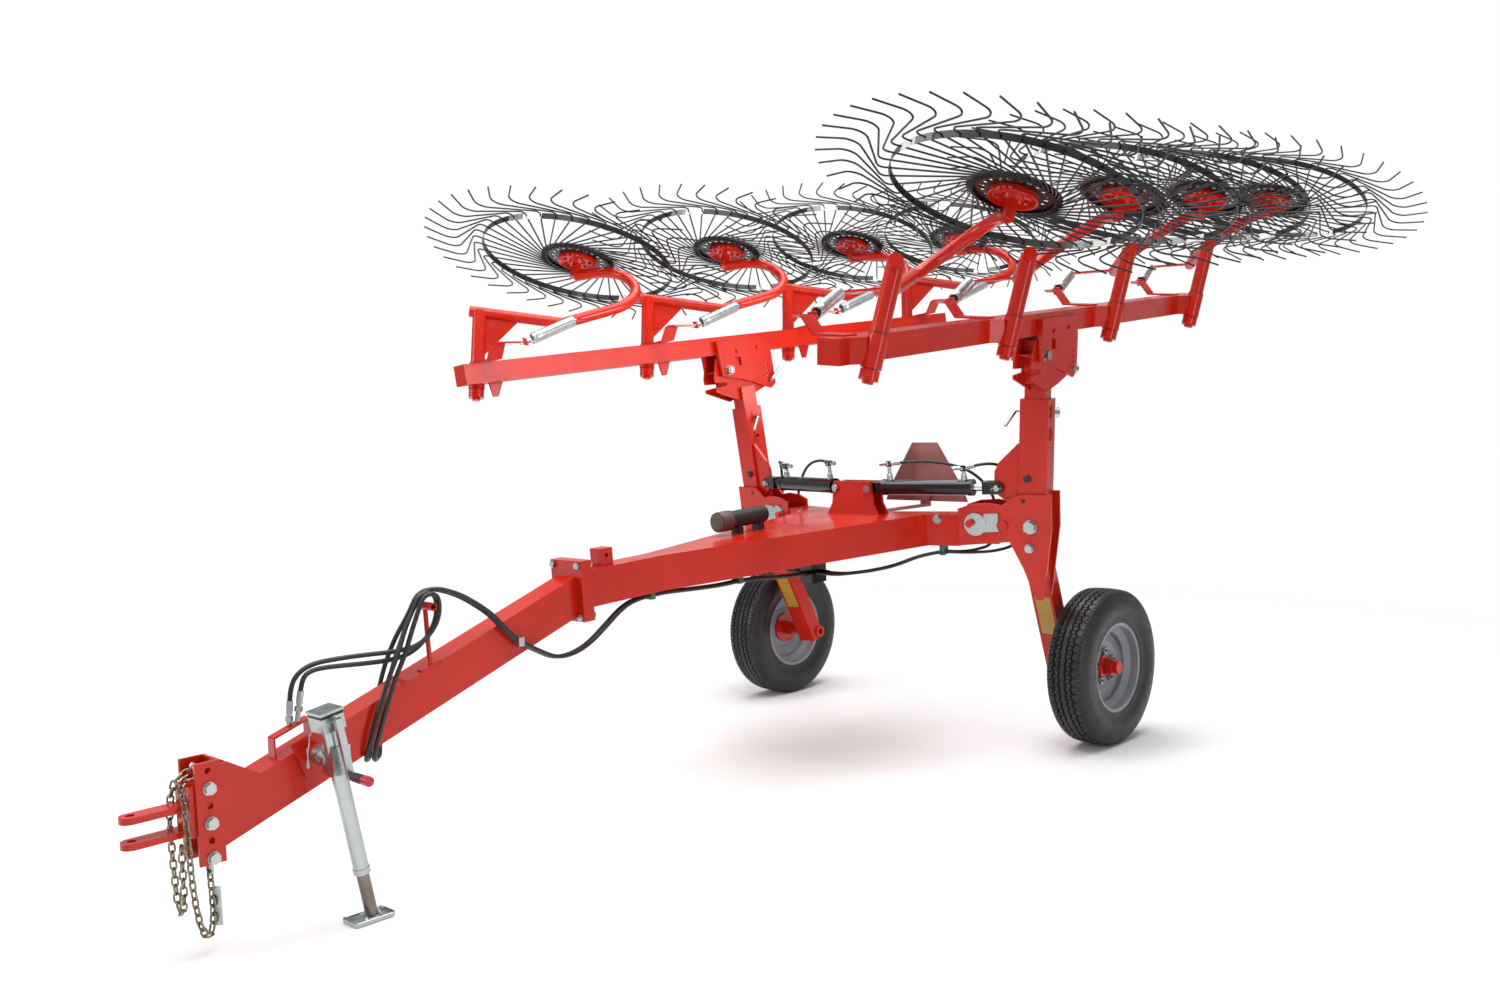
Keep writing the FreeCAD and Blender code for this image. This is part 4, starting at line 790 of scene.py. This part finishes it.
X = np.array((1.0, 0, 0))
nuts = [hexagon(on_wheel(2, 70, 72 * k + 20), X, 0.028, 0.019) for k in range(5)]
studs = [turned([(0.0065, 0), (0.0065, 0.0225), (0.0005, 0.0235)], on_wheel(2, 70, 72 * k + 20), X, 12, False)
         for k in range(5)]
pair("wheel_nuts", joined(nuts), zinc, "wheel_{}")
pair("wheel_studs", joined(studs), black, "wheel_{}")


def lobed_flange():
    """Hub flange whose edge swells toward the five studs: r = 49 + 8 cos 5(a - 20 degrees)."""
    a = np.linspace(0, 2 * math.pi, 120, endpoint=False)
    edge = 49 + 8 * np.cos(5 * (a - math.radians(20)))
    bore, neck = 0 * a + 33.5, 0 * a + 37.5
    rings = [(bore, 2.3), (edge, 2.3), (edge, 12.0), (edge - 2.5, 14.0), (neck, 15.0), (bore, 24.0)]
    placed = [np.stack([952 + x + 0 * a, r * np.cos(a) + ORIGIN_Y, 344 + r * np.sin(a)], 1) for r, x in rings]
    points = np.concatenate(placed) / 1000.0
    return points, grid_faces(len(rings), len(a), closed_rows=True).tolist()


pair("hub_flange", lobed_flange(), red, "wheel_{}")


def vent(start):
    """Painted shade for a curved vent slot: a thin black patch that follows the disc's edge."""
    a = np.radians(np.linspace(start, start + 38, 14))
    lift = np.array([(143.5, 6.9), (150.5, 6.5), (150.5, 5.5), (143.5, 5.5)])
    r, x = lift[:, :1], lift[:, 1:]
    y, z = r * np.cos(a), r * np.sin(a)
    points = np.stack([952 + x + 0 * a, y + ORIGIN_Y, 344 + z], -1).reshape(-1, 3) / 1000.0
    return points, grid_faces(4, len(a), closed_rows=True, closed_columns=False).tolist()


# The black patches are painted shade for the open vent slots.
pair("wheel_vents", joined([vent(90 * k + 26) for k in range(4)]), black_plastic_and_shade, "wheel_{}")

# %% [markdown]
# ## Reflective strips, stops and caps
# Strips and sign sheets are so thin that each is a slab of a fraction of a millimetre laid just off the
# steel.  The canister's cap has a ribbed edge, which is a turned profile whose radius follows a cosine.

# %% Reflective strips, stops and caps
leg_up = unit((42, -266, 602))
LEG = frame_at((755, -4, 310), (1, 0, 0), leg_up)
strip = slab([local(LEG, x, -38.2, z) for x, z in ((-42, 210), (34, 210), (34, 405), (-42, 405))],
             -LEG[1][1] * 0.0006)
pair("leg_reflective_strip", strip, olive, "frame")

bead = tube_along(np.array([local(POST, -62.4, -46.0, z) for z in np.linspace(62, 350, 60)]),
                  0.0030 + 0.0004 * np.cos(np.arange(60) * 2.4), 8)
pair("lug_weld_bead", bead, red, "wing_{}", 60)

stop = turned([(0.0146, 0.0), (0.0156, 0.006), (0.0150, 0.0125), (0.012, 0.0145), (0.0005, 0.0146)],
              local(POST, -22, -47, 205), -POST[1][1], 32, False)
pair("post_bump_stop", stop, black_plastic_and_shade, "wing_{}")

front, joint = mm(-100, -1322, 1062), mm(-100, -1247, 1066)
around = unit(joint - front)
ribs = turned([(0.0005, -0.0015), (0.036, -0.0015), (0.0415, 0.002), (0.043, 0.006), (0.043, 0.062),
               (0.0405, 0.0765), (0.036, 0.0765)], front, around, 72, False)
away = ribs[0] - front
wave = 1 + 0.016 * np.cos(24 * np.arctan2(away @ np.cross(around, X), away @ X))
radial = away - np.outer(away @ around, around)
piece("canister_cap", (ribs[0] + radial * (wave - 1)[:, None], ribs[1]), brown, "frame", 40)

outer = np.array([(-237, 1058), (237, 1058), (207, 1117), (71, 1327), (-71, 1327), (-207, 1117)])
middle = np.array((0, 1160))
for name, share, lift, finish in (("sign_border", 1.0, 23.2, dark_red), ("sign_field", 0.66, 23.6, orange)):
    corners = [mm(x, lift, z) for x, z in middle + (outer - middle) * share]
    piece(name, slab(corners, np.array((0, 0.0003, 0))), finish, "frame")

# %% [markdown]
# ## Fittings
# Zinc elbows and crimps stand on the cylinder ports, and the rods are chromed.  All of it is turned
# profiles, round bars and hexagons, since that is how such fittings are made.

# %% Fittings and fasteners
def elbow(h, up, stub, toward_point):
    """Riser, corner, crimped end along the hose and plugged stub, each a round bar."""
    corner = local(CYLINDER, h, 0, up)
    d = unit(local(CYLINDER, *toward_point) - corner)
    across = unit(local(CYLINDER, stub, 0, up) - corner)
    crimp = [(0.0094, 0.0), (0.0094, 0.018), (0.0106, 0.020), (0.0106, 0.026), (0.0098, 0.028),
             (0.0106, 0.030), (0.0106, 0.036), (0.0098, 0.038), (0.0106, 0.040), (0.0106, 0.0495),
             (0.0075, 0.0495)]
    riser = turned([(0.0136, 0.0), (0.0136, 0.023), (0.0085, 0.025), (0.0085, (up - 25) / 1000.0)],
                   local(CYLINDER, h, 0, 25), CYLINDER[1][2], 24, False)
    end = local(CYLINDER, stub, 0, up)
    return [turned(crimp, corner, d, 24, False), riser,
            hexagon(local(CYLINDER, h, 0, 48), CYLINDER[1][2], 0.021, 0.012),
            tube_along(np.array([corner - across * 0.012, end]), 0.0086, 16),
            tube_along(np.array([corner - d * 0.012, corner + d * 0.012]), 0.0125, 16),
            hexagon(end - across * 0.012, across, 0.019, 0.0125)]


fittings = elbow(*INNER_ELBOW) + elbow(*OUTER_ELBOW)
pair("cylinder_port_elbows", joined(fittings), zinc, "cylinder_{}")
rod_line = np.array([local(CYLINDER, 215, 0, 0), local(CYLINDER, 541, 0, 0)])
pair("chromed_rod", tube_along(rod_line, 0.0163, 40), chrome, "rod_{}")


print(len(fittings), "pieces in one cylinder's fittings")

# %% [markdown]
# Bolts and pins are zinc plated and stand a little out of the steel.  Each is placed in the frame of the
# part it goes through, so that it stands square to it.

# %% Pins, bolts and jack
def cotter(centre, axis, down):
    """Split pin through a pin's end: a wire ring and two legs."""
    side = unit(np.cross(axis, down))
    line = rounded([centre + side * 0.022, centre - side * 0.020, centre - side * 0.026 + down * 0.008,
                    centre - side * 0.018 + down * 0.010], [0.003, 0.003], 0.002)
    return tube_along(line, 0.0018, 8)


def pin_end(where, y, h, z, radius):
    """Zinc pin that shows past a lug: chamfered end and its cotter."""
    out = -where[1][1]
    at = local(where, h, y, z)
    full = radius + 0.0006
    profile = [(full, -0.008), (full, 0.002), (radius - 0.002, 0.004), (0.0005, 0.004)]
    body = turned(profile, at, out, 24, False)
    return [body, cotter(at - out * 0.003, out, -where[1][2])]


pair("clevis_pins", joined(pin_end(CYLINDER, -34, 607.6, 0, 0.0125)), zinc, "rod_{}")

arm_at, arm_out = mm(401, -444, 1018), unit((math.sin(sweep), -math.cos(sweep), 0))
arm_bolt = [turned([(0.001, 0.0), (0.023, 0.0), (0.023, 0.003), (0.001, 0.003)], arm_at, arm_out, 32),
            hexagon(arm_at + arm_out * 0.003, arm_out, 0.031, 0.014)]
pair("arm_bolts", joined(arm_bolt), zinc, "frame")

corner_bolts = []
for x in (-70, 70):
    for z in (-95, 97):
        for y, out in ((-50, -MAIN[1][1]), (0, MAIN[1][1])):
            corner_bolts.append(hexagon(local(MAIN, x, y, z), out, 0.024, 0.012))
piece("flange_bolts", joined(corner_bolts), zinc, "frame")

jack_axis = unit((0, -107, 604))
JACK = frame_at(np.array((200.0, -3205.0, 0.0)) + jack_axis * 638, (1, 0, 0), jack_axis)
FLOOR = frame_at((192, -3214, 0), (1, 0, 0), (0, 0, 1))


def pressed(where, levels, closed=False):
    """Rings of rounded rectangles, one for each (half width, half length, corner radius, height)."""
    a = np.radians(np.concatenate([np.linspace(90 * q, 90 * q + 90, 8) for q in range(4)]))
    sx, sy = np.repeat((1, -1, -1, 1), 8), np.repeat((1, 1, -1, -1), 8)
    rings = [np.stack([sx * (w - r) + r * np.cos(a), sy * (l - r) + r * np.sin(a), np.full(32, h)], 1)
             for w, l, r, h in levels]
    points = where[0] + np.concatenate(rings) @ where[1] / 1000.0
    faces = [tuple(f) for f in grid_faces(len(levels), 32, closed_rows=closed)]
    if not closed:
        faces += [tuple(range(31, -1, -1)), tuple(range(len(points) - 32, len(points)))]
    return points, faces


dish = pressed(FLOOR, [(42, 69, 14, 0), (44.5, 71.5, 16, 3), (44.9, 71.9, 16, 15), (43.4, 70.4, 15, 16),
                       (41.5, 68.5, 13, 14.5), (39, 66, 12, 5)])
foot_collar = turned([(0.019, 0.006), (0.0295, 0.006), (0.0215, 0.016), (0.019, 0.016)],
                     mm(200, -3205, 0), jack_axis, 40)
piece("jack_foot_dish", joined([dish, foot_collar]), zinc, "jack_foot", 35, ["jack_leg"])
slide = turned([(0.0005, 0.006), (0.020, 0.006), (0.020, 0.498), (0.0185, 0.4995), (0.0005, 0.4995)],
               mm(200, -3205, 0), jack_axis, 48, False)
piece("jack_inner_tube", slide, slide_steel, "jack_foot", 35)
gasket = pressed(JACK, [(42.9, 37.9, 3, 46), (42.9, 37.9, 3, 55.5), (41, 36, 2, 55.5), (41, 36, 2, 46)], True)
piece("jack_head_gasket", gasket, black_plastic_and_shade, "jack", 35)
elbow_at = mm(269, -3205, 0) + jack_axis * 0.668
grip_at = elbow_at - jack_axis * 0.172
grip = turned([(0.009, 0.020), (0.0146, 0.022), (0.0152, 0.060), (0.0146, 0.092), (0.0140, 0.094)],
              grip_at, X, 32, False)
end_cap = turned([(0.0156, 0.078), (0.0160, 0.100), (0.0150, 0.110), (0.011, 0.1125), (0.0005, 0.1130)],
                 grip_at, X, 32, False)
piece("crank_grip", grip, black_plastic_and_shade, "jack", 40)
piece("crank_grip_end", end_cap, red_plastic, "jack", 40)


def lynch_clip(centre, axis, ring=0.021):
    """Short pin with a sprung wire ring folded back over it."""
    axis = unit(axis)
    side = unit(np.cross(axis, (0.3, 0.2, 0.93)))
    other = np.cross(axis, side)
    a = np.linspace(0.25, 2 * math.pi - 0.25, 24)
    loop = centre + ring * (np.cos(a)[:, None] * side + np.sin(a)[:, None] * other)
    stem = np.array([centre - side * 0.020, centre + side * 0.026])
    return [tube_along(loop, 0.0016, 6), tube_along(stem, 0.0035, 10)]


clips = lynch_clip(local(POST, 88, 0, 490), POST[1][0]) + lynch_clip(local(BEAM, 76, 1734, -204), BEAM[1][0])
pair("post_lynch_clips", joined(clips), zinc, "wing_{}")

hairpin = rounded([mm(118, -3338, 590), mm(112, -3342, 545), mm(106, -3345, 500), mm(120, -3345, 470),
                   mm(112, -3345, 560)], [0.02, 0.008, 0.006], 0.003)
piece("jack_hairpin", joined([tube_along(hairpin, 0.0022, 8), chain([mm(160, -3330, 640), mm(130, -3338, 610),
                                                                    mm(118, -3340, 592)], 8, 12, 8, 2)]),
      zinc, "jack", 50)

print(len(corner_bolts), "flange bolts")

# %% [markdown]
# The last small pieces are on the wings: head bolts, seals, foot nuts and grease nipples.  Every spindle
# has the same ones, so one loop steps along the beam.

# %% Bolts and nipples on the wings
HEAD_AT = 1552
head_bolts = []
for y, z in ((HEAD_AT - 2, -34), (HEAD_AT + 138, -28)):
    for x, out in ((57, BEAM[1][0]), (-57, -BEAM[1][0])):
        head_bolts.append(hexagon(local(BEAM, x, y, z), out, 0.019, 0.008))
pair("clamp_head_bolts", joined(head_bolts), red, "wing_{}")

# A thin black disc stands for the lock hole: painted shade where the open hole shows dark.
lock_hole_shade = turned([(0.0095, 0.0), (0.0095, 0.0006), (0.0005, 0.0006)],
              local(PLATES, -25, 0, 112), -PLATES[1][1], 24, False)
pair("lock_hole_painted_shade", lock_hole_shade, black_plastic_and_shade, "frame")

SPINDLE_FOOT, SPINDLE_LINE = np.array((1117.0, -1792.0, 1649.0)), unit((59, 82, 361))
SEAL = [(0.030, -0.0015), (0.0345, -0.0015), (0.0345, 0.0035), (0.030, 0.0035)]
NIPPLE = [(0.0028, 0.004), (0.0028, 0.009), (0.0036, 0.011), (0.0022, 0.014), (0.0004, 0.0145)]
outward = unit(np.cross(SPINDLE_LINE, ALONG))
seals, foot_nuts, nipples = [], [], []
for i in range(4):
    low = SPINDLE_FOOT + ARM_STEP * i
    seals.append(turned(SEAL, mm(*(low + SPINDLE_LINE * 134)), SPINDLE_LINE, 40))
    foot_nuts.append(hexagon(mm(*(low - SPINDLE_LINE * 24)), -SPINDLE_LINE, 0.034, 0.012))
    spot = mm(*(low + SPINDLE_LINE * 78 + outward * 36))
    nipples += [hexagon(spot - outward * 0.001, outward, 0.009, 0.005),
                turned(NIPPLE, spot, outward, 12, False)]
pair("spindle_seals", joined(seals), black_plastic_and_shade, "wing_{}")
pair("spindle_foot_nuts", joined(foot_nuts), red, "wing_{}")
pair("spindle_grease_nipples", joined(nipples), zinc, "wing_{}")

print(len(nipples) // 2, "grease nipples on a side")

# %% [markdown]
# ## Stage
# A pale floor keeps the machine's shadow.  Far from it, and only where the camera looks, the floor turns
# into white paper, so that floor and background meet without a line.

# %% Floor
def grid_plane(name, half, z):
    mesh = bpy.data.meshes.new(name)
    corners = [(-half, -half, z), (half, -half, z), (half, half, z), (-half, half, z)]
    mesh.from_pydata(corners, [], [(0, 1, 2, 3)])
    obj = bpy.data.objects.new(name, mesh)
    bpy.context.scene.collection.objects.link(obj)
    return obj


floor = grid_plane("studio_floor", 40.0, 0.0)
pale, tree, shader = material("pale_studio_floor")
feed(tree, shader, Roughness=0.9,
     Base_Color=ramp(tree, noise(tree, 4000, 1.0), linear("F8F8F8"), linear("FBFBFB")))
place = add(tree, "ShaderNodeTexCoord").outputs["Object"]
reach = add(tree, "ShaderNodeVectorMath", {0: place}, operation="LENGTH").outputs["Value"]
far_off = spread(tree, reach, 0.0, 1.0, 2.0, 5.5)
seen = add(tree, "ShaderNodeLightPath").outputs["Is Camera Ray"]
share = add(tree, "ShaderNodeMath", {0: far_off, 1: seen}, operation="MULTIPLY").outputs[0]
paper = add(tree, "ShaderNodeEmission", {"Color": (1.0, 1.0, 1.0, 1.0)})
mix = add(tree, "ShaderNodeMixShader", {0: share, 1: shader.outputs["BSDF"], 2: paper.outputs[0]})
tree.links.new(mix.outputs[0], tree.nodes["Material Output"].inputs["Surface"])
floor.data.materials.append(pale)

print("the floor turns white by 5.5 m from the middle")

# %% [markdown]
# The room is dim grey for diffuse light and white to the camera.  Glossy rays see part of the white, as
# polished enamel does in a light tent; more of it would bleach the red at grazing angles.

# %% Light
world = bpy.data.worlds.new("soft_studio")
bpy.context.scene.world = world
world.use_nodes = True
tree = world.node_tree
tree.nodes.clear()
glow = add(tree, "ShaderNodeBackground", {"Color": linear("F2F4F7"), "Strength": 0.35})
white = add(tree, "ShaderNodeBackground", {"Color": (1.0, 1.0, 1.0, 1.0), "Strength": 1.0})
seen = add(tree, "ShaderNodeLightPath")
GLOSSY_SHARE = 0.32
seen = add(tree, "ShaderNodeMath", {0: seen.outputs["Is Glossy Ray"], 1: GLOSSY_SHARE,
                                    2: seen.outputs["Is Camera Ray"]}, operation="MULTIPLY_ADD")
mix = add(tree, "ShaderNodeMixShader", {0: seen.outputs[0], 1: glow.outputs[0], 2: white.outputs[0]})
add(tree, "ShaderNodeOutputWorld", {"Surface": mix.outputs[0]})


def area_light(name, place, aim, size, watts, spread_degrees=180):
    data = bpy.data.lights.new(name, "AREA")
    data.shape, data.size, data.size_y, data.energy = "RECTANGLE", size[0], size[1], watts
    data.spread = math.radians(spread_degrees)
    obj = bpy.data.objects.new(name, data)
    obj.location = place
    obj.rotation_euler = (Vector(aim) - Vector(place)).to_track_quat("-Z", "Y").to_euler()
    bpy.context.scene.collection.objects.link(obj)


area_light("overhead_softbox", (0.0, -0.5, 7.0), (0.0, -0.5, 0.0), (7.0, 9.0), 850)
area_light("front_softbox", (-5.0, -8.0, 4.0), (0.0, -0.5, 0.9), (3.0, 3.0), 200)
area_light("far_wing_softbox", (0.5, 0.1, 1.95), (-1.3, 0.1, 1.9), (2.6, 0.6), 9, 80)
area_light("side_softbox", (8.0, -1.5, 2.2), (0.0, 0.0, 1.2), (1.2, 4.0), 85)

# %% [markdown]
# ## Camera
# The camera stands at head height off the hitch's left, with a slight roll.  Its matrix is built from the
# three axes, because angles about fixed axes would mix the roll into the tilt.

# %% Camera
CAMERA = Vector((3.9567, -4.6465, 1.5852))
AZIMUTH, PITCH, ROLL = (math.radians(a) for a in (43.760, 4.319, -2.093))
LENS = 32.63


def camera_matrix():
    level_part = math.cos(PITCH)
    back = Vector((math.sin(AZIMUTH) * level_part, -math.cos(AZIMUTH) * level_part, math.sin(PITCH)))
    right = Vector((math.cos(AZIMUTH), math.sin(AZIMUTH), 0.0))
    up = back.cross(right)
    level = Matrix((right, up, back)).transposed()
    return Matrix.Translation(CAMERA) @ (level @ Matrix.Rotation(ROLL, 3, "Z")).to_4x4()


camera = bpy.data.objects.new("camera", bpy.data.cameras.new("camera"))
camera.data.lens, camera.data.sensor_width = LENS, 36.0
camera.data.clip_end = 200.0
camera.matrix_world = camera_matrix()
bpy.context.scene.collection.objects.link(camera)
bpy.context.scene.camera = camera
bpy.context.scene.view_settings.view_transform = "Standard"

print("camera at", [round(c, 2) for c in CAMERA], "m with a lens of", LENS, "mm")
